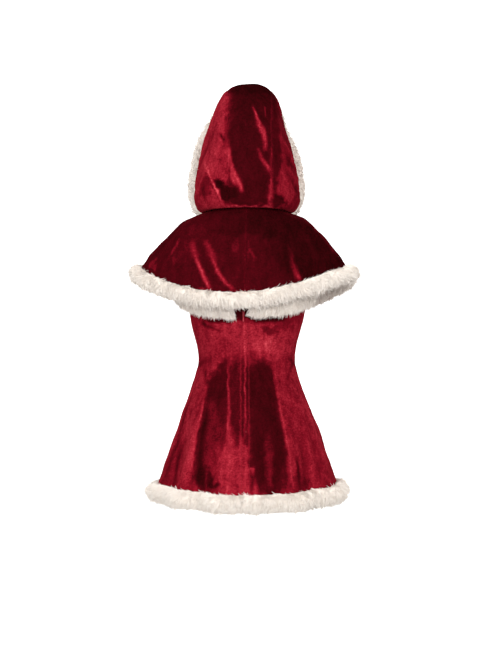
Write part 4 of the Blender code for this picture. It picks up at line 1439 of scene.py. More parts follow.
# The cape's painted highlights run along its folds and painted shade lies in its troughs.
CAPE_CREASES = {
    Side.BACK: creases(
        ((132, 286, 125, 264, 116, 238), 9, 1.4, 0.2, 0.52, 1),
        ((121, 254, 115, 234, 105, 212, 90, 181, 80, 163), 5, 2, 0.3, 0.82, 1),
        ((98, 286, 86, 262, 76, 236), 8.5, 1.4, 0, 0.5, 1),
        ((80, 250, 74, 229, 57, 195, 28, 163), 4.5, 2, -0.3, 0.74, 1, 1.2),
        ((112, 280, 98, 240, 84, 204, 62, 172), 6, -2.2, 0, 0.12, 0.5),
        ((148, 309, 161, 285, 172, 262, 184, 240), 2.6, 1.4, 0, 0.5, 0.9),
        ((-7, 266, -14, 250, -26, 236), 3.4, 1.2, 0, 0.5, 0.9, 1.4),
        ((-93, 282, -102, 257, -106, 231, -114, 211, -122, 187), 3.4, 2.2, 0.2, 0.9, 1, 2),
        ((-72, 280, -82, 240, -88, 200, -96, 176), 7, -2.2, 0, 0.1, 0.5),
        ((-140, 305, -154, 272, -168, 246), 5, 1.2, 0, 0.16, 0.6),
        ((-4, 300, -5, 240, -6, 162), 1.2, 0, 0, 0.44, 0.8),
        ((213, 248, 221, 224), 3.4, 0.8, 0, 0.5, 0.8), ((50, 300, 44, 262, 38, 226), 7, -1.8),
        ((-46, 290, -52, 250, -50, 208), 7, 1.4),
        ((112, 176, 100, 170, 88, 168), 3, 0.6, 0, 0.55, 0.8),
        ((30, 166, 18, 163, 4, 161), 3, 0.6, 0, 0.55, 0.8),
    ),
    Side.LEFT: creases(
        ((70, 330, 84, 290, 96, 230), 7, 1.6, 0, 0.3, 0.6),
        ((30, 345, 36, 300, 48, 244), 8, -2.4, 0.2, 0.12, 0.5),
        ((-8, 345, -16, 300, -14, 244), 6, 2, 0, 0.68, 0.8),
        ((-50, 330, -66, 280, -80, 226), 8, -2.4, 0, 0.12, 0.5),
        ((-90, 316, -108, 270, -120, 206), 6, 2, 0, 0.75, 0.9),
    ),
    Side.RIGHT: creases(
        ((66, 328, 82, 286, 88, 232), 7, -2.4, 0, 0.12, 0.5),
        ((30, 342, 38, 300, 40, 240), 6, 1.8, 0, 0.3, 0.9),
        ((-4, 346, -2, 300, -10, 242), 8, -2.4, -0.2, 0.12, 0.5),
        ((-44, 336, -56, 286, -60, 232), 6, 2, 0, 0.7, 0.8),
        ((-84, 316, -104, 262, -112, 210), 7, -2.2, 0, 0.12, 0.5),
    ),
    Side.FRONT: creases(
        ((30, 318, 36, 270, 30, 200), 3.2, 1.8, 0.2, 0.56, 0.9, 2.4),
        ((66, 324, 78, 266, 86, 196), 8, -2.6, 0, 0.12, 0.5),
        ((108, 330, 128, 280, 140, 222), 3.4, 2, 0, 0.58, 0.9, 2.4),
        ((-28, 316, -40, 262, -44, 190), 7, -2.4, 0, 0.12, 0.5),
        ((-62, 322, -80, 264, -82, 200), 3.2, 2.2, -0.2, 0.66, 1, 2.4),
        ((-112, 326, -134, 276, -150, 224), 7, -2.2, 0, 0.12, 0.5),
        ((-98, 330, -112, 290, -118, 240), 3, 1.4, 0, 0.42, 0.8, 2.4),
    ),
}
# Painted shade at the top of the cape, where it slopes up, and over its right side.
CAPE_PATCHES = {
    Side.BACK: patches(
        (0, 330, 150, 34, 0.1), (-70, 230, 30, 50, 0.15), (25, 268, 8, 16, 0.32),
        (168, 238, 6, 10, 0.3), (222, 226, 8, 12, 0.4, -40), (-156, 262, 80, 90, 0),
        (-60, 318, 80, 30, 0.05),
    ),
    Side.FRONT: patches(
        (0, 290, 120, 60, 0.18), (-106, 240, 36, 40, 0.28, -14), (112, 236, 40, 40, 0.26, 14),
    ),
    Side.LEFT: patches((0, 320, 110, 40, 0.2)),
    Side.RIGHT: patches((0, 320, 110, 40, 0.16), (80, 260, 44, 90, 0.04)),
}
# The cape's pile is painted darker overall: painted shade on its upward slopes.
CAPE_MARKS = Marks(
    0.19,
    CAPE_CREASES,
    CAPE_PATCHES,
    (Waves(14, 0.075, 0.0012, 1.5), Waves(17, 0.028, 0.00045, 1.4)),
)


@dataclass
class Cape:
    """The capelet: two velvet halves, joined at the centre back and hooked at the front."""

    velvet: Material
    form: CapeForm = CapeForm()
    marks: Marks = CAPE_MARKS
    columns: int = 150
    rows: int = 72
    seam: SewnValley = SewnValley(2.2, 0.0011)
    # A painted highlight along each seam.
    seam_painted_highlight: float = 0.12
    front_reach: float = 9.0
    calm_from: float = 0.02
    calm_over: float = 0.25
    hem_from: float = 0.9
    hem_over: float = 0.1
    hem_calm: float = 0.3
    cut: Cut = Cut(0.450, 0.330, 0.100)

    def pressed(self, sign: int, across: Array, share: Array) -> Arrays:
        """Finds points on one half with its creases pressed in.

        Args:
            sign: 1 for the wearer's left, -1 for the right.
            across: 0 at the centre-back seam, 1 at the front edge.
            share: How far down the cloth.

        Returns:
            The points, the ways out, and the pile's painted light and shade with nap tone.
        """
        points, out, _ = self.form.frame(sign * self.form.spread(across, share), share)
        moved, bright = self.marks.press(points, out)
        width = self.form.rows.at(share)[:, 1] * math.pi / MM
        dip, near = self.seam.press(points, across * width)
        front = np.exp(-(((1 - across) * width / self.front_reach) ** 2))
        calm = eased((share - self.calm_from) / self.calm_over)
        calm = calm * blended(1.0, self.hem_calm, (share - self.hem_from) / self.hem_over)
        moved = moved * calm * (1 - front) - dip
        return points + out * moved[:, None], out, bright + self.seam_painted_highlight * near

    def build(self) -> None:
        """Makes both halves."""
        for sign, name, other in ((1, "cape_left", "cape_right"), (-1, "cape_right", "cape_left")):
            mesh = pressed_grid(
                name + "_cloth",
                self.columns,
                self.rows,
                lambda across, share: self.pressed(sign, across, share),
            )
            hang_cloth(mesh, self.velvet)


# The hood

# Painted highlights along the hood's ridges and painted shade in its creases, partly crushed-nap tone.
HOOD_CREASES = {
    Side.BACK: creases(
        ((64, 536, 57, 524, 49, 511), 3, -2, 0.3, 0.12, 0.95),
        ((79, 430, 60, 408, 42, 388), 3, -1.8, 0, 0.03, 1, 4.5),
        ((103, 478, 84, 434, 70, 402, 56, 366), 2.4, 2.4, 0.3, 0.96, 1.2),
        ((44, 511, 37, 468, 26, 432, 7, 392), 3, 1.8, 0.4, 0.74, 1, 2),
        ((45, 500, 41, 462, 34, 432, 22, 402), 4, 0.8, 0, 0.66, 1, 1.5),
        ((45, 496, 44, 458, 41, 420), 3, 0, 0, 0.6, 0.9),
        ((44, 460, 38, 430, 33, 412), 1.4, -0.6, 0, 0.2, 0.7),
        ((-13, 602, -20, 578, -26, 557, -36, 534), 1.8, 1.6, 0.3, 0.84, 1, 4),
        ((-34, 552, -39, 530, -42, 512, -42, 488), 6, 1.2, 0, 0.7, 1),
        ((-24, 498, -34, 474, -46, 455, -57, 440), 3.6, 1.4, 0, 0.64, 1, 1.8),
        ((-41, 600, -43, 584, -45, 568), 2.2, 0.8, 0, 0.5, 0.9),
        ((-58, 520, -58, 470, -57, 430), 1.4, 0, 0, 0.4, 0.7),
        ((-57, 444, -55, 410, -52, 366), 2.6, 0, 0, 0.64, 0.9, 1.6),
        ((-70, 580, -77, 550, -82, 507, -87, 462), 3, 1.8, 0.2, 0.56, 0.8),
        ((-60, 394, -74, 384, -90, 380), 3.4, -2, 0, 0.1, 1, 2),
        ((10, 560, 4, 500, -8, 440), 9, -2.2),
        # A painted highlight along the hood's lower rim.
        ((96, 356, 48, 363, 0, 364, -54, 363, -108, 354), 2.4, 1, 0, 0.74, 1),
        ((-6, 470, -22, 420, -46, 392), 6, -1.8),
    ),
    Side.LEFT: creases(
        ((84, 560, 60, 500, 30, 440), 8, -2.4, 0.2, 0.3, 0.5),
        ((60, 600, 28, 548, 0, 480, -20, 420), 8, 2.4, 0, 0.75, 0.6),
        ((92, 470, 66, 420, 30, 386), 7, 2.2, 0.2, 0.75, 0.6),
        ((-10, 580, -40, 520, -56, 460), 8, -2.4, 0, 0.25, 0.5),
        ((0, 640, -30, 600, -62, 540), 7, 2, 0, 0.7, 0.6),
        ((-30, 440, -50, 410, -80, 392), 6, -2.2, 0, 0.25, 0.5),
    ),
    Side.RIGHT: creases(
        ((86, 540, 56, 480, 24, 430), 8, 2.4, 0, 0.7, 0.6),
        ((54, 600, 24, 540, -6, 470, -26, 410), 8, -2.6, -0.2, 0.15, 0.6),
        ((94, 460, 60, 412, 24, 384), 7, -2.2, 0, 0.15, 0.5),
        ((-14, 590, -44, 530, -60, 470), 7, 2.2, 0, 0.7, 0.6),
        ((10, 640, -24, 612, -60, 560), 7, -2, 0, 0.25, 0.5),
        ((-20, 440, -46, 404, -76, 390), 6, 2, 0, 0.7, 0.5),
    ),
}
# Painted highlight on the left panel, painted shade down the centre panel and over the crown.
HOOD_PATCHES = {
    Side.BACK: patches(
        (82, 500, 36, 190, 0.6), (60, 580, 12, 66, 0.68, 5), (72, 470, 26, 44, 0.63, 14),
        (-96, 470, 40, 190, 0.38), (-8, 530, 52, 190, 0.13), (-10, 420, 46, 50, 0.14),
        (-4, 377, 52, 10, 0.14), (-68, 500, 10, 110, 0.16), (-104, 490, 10, 34, 0.08),
        (-92, 416, 22, 46, 0.56), (-74, 376, 18, 12, 0.16), (-22, 622, 52, 62, 0.09),
        (-18, 654, 62, 26, 0.03), (98, 412, 15, 28, 0.36), (50, 401, 33, 12, 0.02, 33),
        (36, 396, 17, 11, 0.05, 10), (52, 387, 17, 12, 0.04, 30),
    ),
    Side.LEFT: patches((20, 520, 70, 100, 0.6), (-40, 470, 26, 70, 0.24)),
    Side.RIGHT: patches((30, 520, 50, 80, 0.34), (-40, 480, 34, 80, 0.64)),
}
HOOD_MARKS = Marks(
    0.5,
    HOOD_CREASES,
    HOOD_PATCHES,
    (Waves(21, 0.060, 0.0012), Waves(24, 0.024, 0.00045)),
)


@dataclass
class Hood:
    """The hood: two sides and a long middle panel, from three pieces of velvet."""

    velvet: Material
    form: HoodForm = HoodForm()
    marks: Marks = HOOD_MARKS
    seam_left: float = 0.045
    seam_right: float = -0.0565
    reach: float = 0.2
    chin_height: float = 0.42
    columns: int = 190
    rows: int = 110
    seam: SewnValley = SewnValley(2.0, 0.0009)
    # A painted highlight along each seam.
    seam_painted_highlight: float = 0.08
    least_slope: float = 0.3
    face_calm: float = 0.03
    foot_from: float = 0.36
    foot_calm: float = 0.02
    side_cut: Cut = Cut(0.270, 0.360, 0.070)
    centre_cut: Cut = Cut(0.115, 0.520, 0.048)

    def shell(self, columns: int, rows: int) -> BMesh:
        """Makes the whole hood as one thin surface, cut away at the face opening.

        Args:
            columns: How many cells go round it.
            rows: How many go up it.

        Returns:
            The surface.
        """
        bm = even_grid(columns, rows)
        bend(bm, lambda flat: self.form.point(FULL_TURN * flat[:, 0] - math.pi, flat[:, 1]))
        split(bm, self.form.face_point, tuple(self.form.face_way()), clear=True)
        bmesh.ops.recalc_face_normals(bm, faces=bm.faces)
        return bm

    def panel_mesh(self, name: str, low: float, high: float) -> Mesh:
        """Cuts one panel out of the shell; under the chin the sides reach the centre.

        Args:
            name: The mesh's name.
            low: The plane on its right.
            high: The plane on its left.

        Returns:
            The mesh, with the whole shell's normals kept as its ways out.
        """
        bm = self.shell(self.columns, self.rows)
        for across in (self.seam_right, 0.0, self.seam_left):
            split(bm, (across, 0.0, 0.0), (1.0, 0.0, 0.0))
        bm.normal_update()
        ways = bm.verts.layers.float_vector.new("out")
        for vert in bm.verts:
            vert[ways] = vert.normal
        chin_low = 0.0 if low > 0 else low
        chin_high = 0.0 if high < 0 else high
        outside = []
        for face in bm.faces:
            middle = face.calc_center_median()
            chin = middle.y < 0 and middle.z < self.chin_height
            kept = chin_low < middle.x < chin_high if chin else low < middle.x < high
            if not kept or (chin and low < 0 < high):
                outside.append(face)
        bmesh.ops.delete(bm, geom=outside, context="FACES")
        bmesh.ops.dissolve_degenerate(bm, edges=bm.edges, dist=0.0002)
        return mesh_from(bm, name)

    def panel(self, name: str, low: float, high: float, cut: Cut, beside: Sequence[str]) -> None:
        """Makes one panel with its creases.

        Args:
            name: The node that it replaces.
            low: The plane on its right.
            high: The plane on its left.
            cut: Its flat cut; not used.
            beside: The panels that it is sewn to; not used.
        """
        mesh = self.panel_mesh(name + "_cloth", low, high)
        points, out = places_of(mesh), vectors_of(mesh, "out")
        moved, bright = self.marks.press(points, out)
        beside_seam = np.minimum(
            np.abs(points[:, 0] - self.seam_left), np.abs(points[:, 0] - self.seam_right)
        )
        slope = np.maximum(np.abs(out[:, 1]), np.abs(out[:, 2]))
        beside_seam = beside_seam / np.maximum(slope, self.least_slope) / MM
        dip, near = self.seam.press(points, beside_seam)
        from_face = (np.array(self.form.face_point) - points) @ self.form.face_way()
        calm = eased(from_face / self.face_calm)
        calm = calm * eased((points[:, 2] - self.foot_from) / self.foot_calm)
        moved = moved * calm - dip * eased(calm * 2)
        place_all(mesh, points + out * moved[:, None])
        # The pile keeps its painted light and shade, with a painted highlight along the seams.
        keep_value(mesh, "bright", bright + self.seam_painted_highlight * near)
        hang_cloth(mesh, self.velvet)

    def build(self) -> None:
        """Makes the three panels."""
        left, right, sides = self.seam_left, self.seam_right, ("hood_left", "hood_right")
        self.panel("hood_left", left, self.reach, self.side_cut, ("hood_centre",))
        self.panel("hood_centre", right, left, self.centre_cut, sides)
        self.panel("hood_right", -self.reach, right, self.side_cut, ("hood_centre",))

    def face_edge(self) -> Array:
        """The points of the edge round the face, in order from the chin's right side."""
        bm = self.shell(40, 20)
        way, on_plane = Vector(self.form.face_way()), Vector(self.form.face_point)
        ends: dict = {}
        for edge in bm.edges:
            near = all(abs((vert.co - on_plane).dot(way)) < 1e-5 for vert in edge.verts)
            if len(edge.link_faces) == 1 and near:
                first, second = edge.verts
                ends.setdefault(first, []).append(second)
                ends.setdefault(second, []).append(first)
        start = min(ends, key=lambda vert: vert.co.z + (0 if vert.co.x < 0 else 1))
        chain = [start]
        following = min(ends[start], key=lambda vert: vert.co.x)
        while following is not start:
            chain.append(following)
            following = next(vert for vert in ends[following] if vert is not chain[-2])
        points = np.array([vert.co[:] for vert in chain])
        bm.free()
        return points


# Plush rolls


@dataclass
class RollPath:
    """The line of a plush roll: its middle, its directions and its size at each station."""

    middle: Array
    out: Array
    down: Array
    half_height: Array
    half_thick: Array
    closed: bool = False

    def at(self, share: Array) -> Arrays:
        """Reads the line anywhere.

        Args:
            share: How far along it, from 0 to 1.

        Returns:
            The middle, the ways out and down, and half the height and thickness.
        """
        count = len(self.middle)
        place = share * (count if self.closed else count - 1)
        low = np.floor(place).astype(int)
        part = place - low
        high = low + 1
        if self.closed:
            low, high = low % count, high % count
        else:
            low, high = np.clip(low, 0, count - 1), np.clip(high, 0, count - 1)
        tables = (self.middle, self.out, self.down, self.half_height, self.half_thick)
        found = []
        for table in tables:
            weight = part[..., None] if table.ndim == 2 else part
            found.append(table[low] * (1 - weight) + table[high] * weight)
        return tuple(found)

    def length(self) -> float:
        """How long the line is."""
        line = np.vstack([self.middle, self.middle[:1]]) if self.closed else self.middle
        return line_length(line)

    def surface(self, share: Array, turn: Array, size: float, seat: Pair = (0.0, 0.0)) -> Arrays:
        """Finds points on the roll.

        Args:
            share: How far along it.
            turn: The angle round it: 0 on top, a quarter turn outside, a half turn below.
            size: Its thickness as a share of its whole.
            seat: How far it is moved up and in, as shares of the room that its size leaves.

        Returns:
            The points and the ways out of the roll.
        """
        middle, out, down, tall, thick = self.at(share)
        cosine, sine = np.cos(turn)[..., None], np.sin(turn)[..., None]
        tall, thick = tall[..., None], thick[..., None]
        middle = middle - (1 - size) * (down * tall * seat[0] + out * thick * seat[1])
        tall, thick = tall * size, thick * size
        points = middle - down * cosine * tall + out * sine * thick
        return points, unit(out * sine / thick - down * cosine / tall)


@dataclass(frozen=True)
class Pile:
    """How a plush roll's tufts stand: their length, slant and spacing."""

    seed: int
    length: float = 0.0125
    width: float = 0.00090
    spacing: float = 0.00184
    core: float = 0.74
    seat: Pair = (1.05, 0.0)
    top_short: float = 0.26
    top_uneven: float = 0.36
    lock_size: float = 0.0075
    rise: float = 0.42
    lift: float = 0.24
    droop: float = 0.80
    slant: float = 0.40
    sway: float = 0.30
    spread: float = 0.12
    bend: float = 0.16
    clump_size: float = 0.0080
    clumping: float = 0.32
    guard_share: float = 0.10
    guard_more: float = 0.36
    guard_rise: float = 0.45
    lengths: Pair = (0.78, 1.12)
    length_size: float = 0.018
    length_uneven: float = 0.16
    widths: Pair = (0.75, 1.25)
    tones: Pair = (0.2, 0.8)
    tone_uneven: float = 0.5
    top_size: float = 0.013
    droop_size: float = 0.026
    slant_size: float = 0.030
    rise_size: float = 0.020
    clump_shift: float = 0.35
    clump_pace: float = 2.1
    sag: Pair = (0.8, 0.2)
    sag_spread: float = 0.2


@dataclass
class PlushRoll:
    """One plush roll: a soft core and thousands of tufts that stand on it."""

    name: str
    path: RollPath
    pile: Pile
    plush: Material
    open_from: float = 0.0
    open_to: float = FULL_TURN
    core_sides: int = 28
    station_step: float = 0.0042
    lump_size: float = 0.022
    lump_height: float = 0.0009
    # The core takes a colour near the roots': painted shade between the tufts.
    core_reach: float = 0.25
    core_tone: float = 0.5
    fill: float = 0.5
    pile_close: float = 0.022
    end_lean: float = 1.3
    sink: float = 0.0012
    look: Pair = (0.002, 0.01)
    corner_up: float = 0.45

    def core(self) -> None:
        """Makes the roll under the tufts, lumpy and closed at its ends."""
        pile = self.pile

        def place(flat: Array) -> Array:
            """The core's points from the flat grid's."""
            points, out = self.path.surface(flat[:, 0], flat[:, 1] * FULL_TURN, pile.core, pile.seat)
            return points + out * Waves(pile.seed, self.lump_size, self.lump_height).at(points)[:, None]

        bm = even_grid(int(self.path.length() / self.station_step), self.core_sides)
        bend(bm, place)
        rim = [edge for edge in bm.edges if len(edge.link_faces) == 1]
        if rim:
            bmesh.ops.holes_fill(bm, edges=rim, sides=0)
        bmesh.ops.recalc_face_normals(bm, faces=bm.faces)
        mesh = mesh_from(bm, self.name + "_core")
        keep_value(mesh, "reach", np.full(len(mesh.vertices), self.core_reach))
        keep_value(mesh, "tone", np.full(len(mesh.vertices), self.core_tone))
        finished(mesh, self.plush, self.name)

    def tuft_template(self) -> Arrays:
        """A tuft of height 1: a three-sided sliver with one corner of its foot drawn halfway up."""
        bm = bmesh.new()
        bmesh.ops.create_cone(bm, cap_ends=True, segments=3, radius1=1.0, radius2=0.0, depth=1.0)
        bmesh.ops.translate(bm, verts=bm.verts, vec=(0.0, 0.0, 0.5))
        bmesh.ops.remove_doubles(bm, verts=bm.verts, dist=1e-5)
        low = max((vert for vert in bm.verts if vert.co.z < 0.5), key=lambda vert: vert.co.y)
        low.co.z = self.corner_up
        bmesh.ops.recalc_face_normals(bm, faces=bm.faces)
        return template_of(bm)

    def roots(self) -> Arrays:
        """Finds where the tufts stand.

        Returns:
            How far along the roll each is, and its angle round the roll.
        """
        rng = np.random.default_rng(self.pile.seed)
        height = float(self.path.half_height.mean()) * self.pile.core
        thick = float(self.path.half_thick.mean()) * self.pile.core
        span = self.open_to - self.open_from
        around = span * math.sqrt((height**2 + thick**2) / 2)
        rows = max(int(around / self.pile.spacing), 3)
        columns = int(self.path.length() / self.pile.spacing)
        row, column = np.meshgrid(np.arange(rows), np.arange(columns), indexing="ij")
        jitter = rng.uniform(-0.5, 0.5, (2, rows, columns))
        share = (column + 0.5 + 0.5 * (row % 2) + jitter[0]) / (columns + 0.5)
        turn = self.open_from + span * (row + 0.5 + jitter[1]) / rows
        return np.clip(share, 0.0, 1.0).ravel(), turn.ravel()

    def clumps(self, share: Array, turn: Array, values: Array) -> Array:
        """Averages values over the small clumps that tufts gather in.

        Args:
            share: How far along the roll each tuft is.
            turn: Its angle round the roll.
            values: A vector for each tuft.

        Returns:
            Its clump's mean for each tuft.
        """
        pile = self.pile
        size = pile.clump_size
        radius = float(self.path.half_height.mean()) * pile.core
        along = share * self.path.length() / size
        row = np.floor(turn * radius / size + pile.clump_shift * np.sin(along * pile.clump_pace))
        column = np.floor(along + 0.5 * (row % 2))
        _, label = np.unique(row * 100000 + column, return_inverse=True)
        label = label.ravel()
        counts = np.bincount(label)
        sums = [np.bincount(label, weights=values[:, axis]) for axis in range(3)]
        return (np.column_stack(sums) / counts[:, None])[label]

    def ways(self, share: Array, turn: Array, guards: Array) -> Arrays:
        """Finds how the tufts lean.

        Args:
            share: How far along the roll each is.
            turn: Its angle round the roll.
            guards: Which of them are long hairs that stand up more.

        Returns:
            Their roots, the ways that they stand and the way down there.
        """
        pile = self.pile
        rng = np.random.default_rng(pile.seed + 50)
        root, out = self.path.surface(share, turn, pile.core, pile.seat)
        down = self.path.at(share)[2]
        step = self.look[0] if self.path.closed else self.look[1]
        ahead, behind = share + step, share - step
        if not self.path.closed:
            ahead, behind = np.clip(ahead, 0, 1), np.clip(behind, 0, 1)
        along = unit(self.path.at(ahead)[0] - self.path.at(behind)[0])
        comb = down - out * (down * out).sum(axis=1, keepdims=True)
        droop = pile.droop + Waves(pile.seed + 1, pile.droop_size, 0.5 * pile.sway).at(root)
        slant = pile.slant + Waves(pile.seed + 2, pile.slant_size, pile.sway).at(root)
        rise = pile.rise + Waves(pile.seed + 4, pile.rise_size, pile.lift).at(root)
        rise = rise + pile.guard_rise * guards
        way = unit(comb * droop[:, None] + along * slant[:, None]) + out * rise[:, None]
        if not self.path.closed:
            close = self.pile_close / self.path.length()
            ends = np.clip((share - 1) / close + 1, 0, 1) - np.clip(1 - share / close, 0, 1)
            way = way + along * (self.end_lean * ends)[:, None]
        way = unit(way + rng.normal(scale=pile.spread, size=way.shape))
        return root, way, down

    def tufts(self) -> None:
        """Makes the tufts as one mesh."""
        pile = self.pile
        rng = np.random.default_rng(pile.seed + 90)
        share, turn = self.roots()
        count = len(share)
        guards = rng.uniform(size=count) < pile.guard_share
        root, way, down = self.ways(share, turn, guards)
        length = pile.length * (rng.uniform(*pile.lengths, count) + pile.guard_more * guards)
        uneven = Waves(pile.seed + 3, pile.length_size, pile.length_uneven)
        length = length * (1 + uneven.at(root))
        ragged = pile.top_short + Waves(pile.seed + 6, pile.top_size, pile.top_uneven).at(root)
        length = length * (1 - ragged * np.maximum(np.cos(turn), 0.0))
        tip = root + way * length[:, None]
        shared_tip = self.clumps(share, turn, tip)
        tip = tip + (shared_tip - tip) * (pile.clumping * ~guards)[:, None]
        stem = tip - root
        side = unit(np.cross(way, unit(rng.normal(size=(count, 3)))))
        other = np.cross(way, side)
        sag = down * pile.sag[0] + way * pile.sag[1]
        sag = unit(sag + rng.normal(scale=pile.sag_spread, size=(count, 3)))
        shape, faces = self.tuft_template()
        tall = shape[:, 2]
        width = pile.width * rng.uniform(*pile.widths, count)
        points = (
            root[:, None]
            + side[:, None] * (shape[:, 0] * width[:, None])[..., None]
            + other[:, None] * (shape[:, 1] * width[:, None])[..., None]
            + stem[:, None] * tall[None, :, None]
            + sag[:, None] * (tall**2 * pile.bend * length[:, None])[..., None]
        )
        points -= way[:, None] * self.sink
        mesh = joined_mesh(self.name + "_pile", points, faces)
        keep_value(mesh, "reach", np.tile(tall, count))
        locks = Waves(pile.seed + 7, pile.lock_size, pile.tone_uneven)
        tone = rng.uniform(*pile.tones, count) + locks.at(root)
        keep_value(mesh, "tone", np.repeat(np.clip(tone, 0, 1), len(shape)))
        finished(mesh, self.plush)
        LOG.info("plush %s: %d tufts, %d triangles", self.name, count, count * len(faces))

    def build(self) -> None:
        """Makes the core and its tufts."""
        self.core()
        self.tufts()


@dataclass
class NeckSeam:
    """The turned-in seam that joins the hood's neck edge to the cape's, a narrow velvet strip."""

    velvet: Material
    cape: Cape
    hood: Hood
    open_front: float = 0.07
    columns: int = 120
    inset: float = 0.0012
    into_hood: float = 0.03
    into_cape: float = 0.05
    bright: float = 0.2
    cut: Cut = Cut(0.400, 0.028, 0.0108)

    def build(self) -> None:
        """Makes the strip from inside the hood's edge, over the join, to inside the cape's."""
        mesh = mesh_from(even_grid(self.columns, 3), "neck_seam_cloth")
        flat = places_of(mesh)
        angle = (math.pi - self.open_front) * (2 * flat[:, 0] - 1)
        zero = np.zeros_like(angle)
        hood, cape = self.hood.form.point, self.cape.form.point
        rings = (
            hood(angle, zero + self.into_hood),
            hood(angle, zero),
            cape(angle, zero),
            cape(angle, zero + self.into_cape),
        )
        row = np.rint(flat[:, 1] * 3).astype(int)
        points = np.stack(rings)[row, np.arange(len(row))]
        points[:, :2] -= unit(points[:, :2]) * self.inset
        place_all(mesh, points)
        keep_value(mesh, "bright", np.full(len(mesh.vertices), self.bright))
        hang_cloth(mesh, self.velvet, WALL / 2)


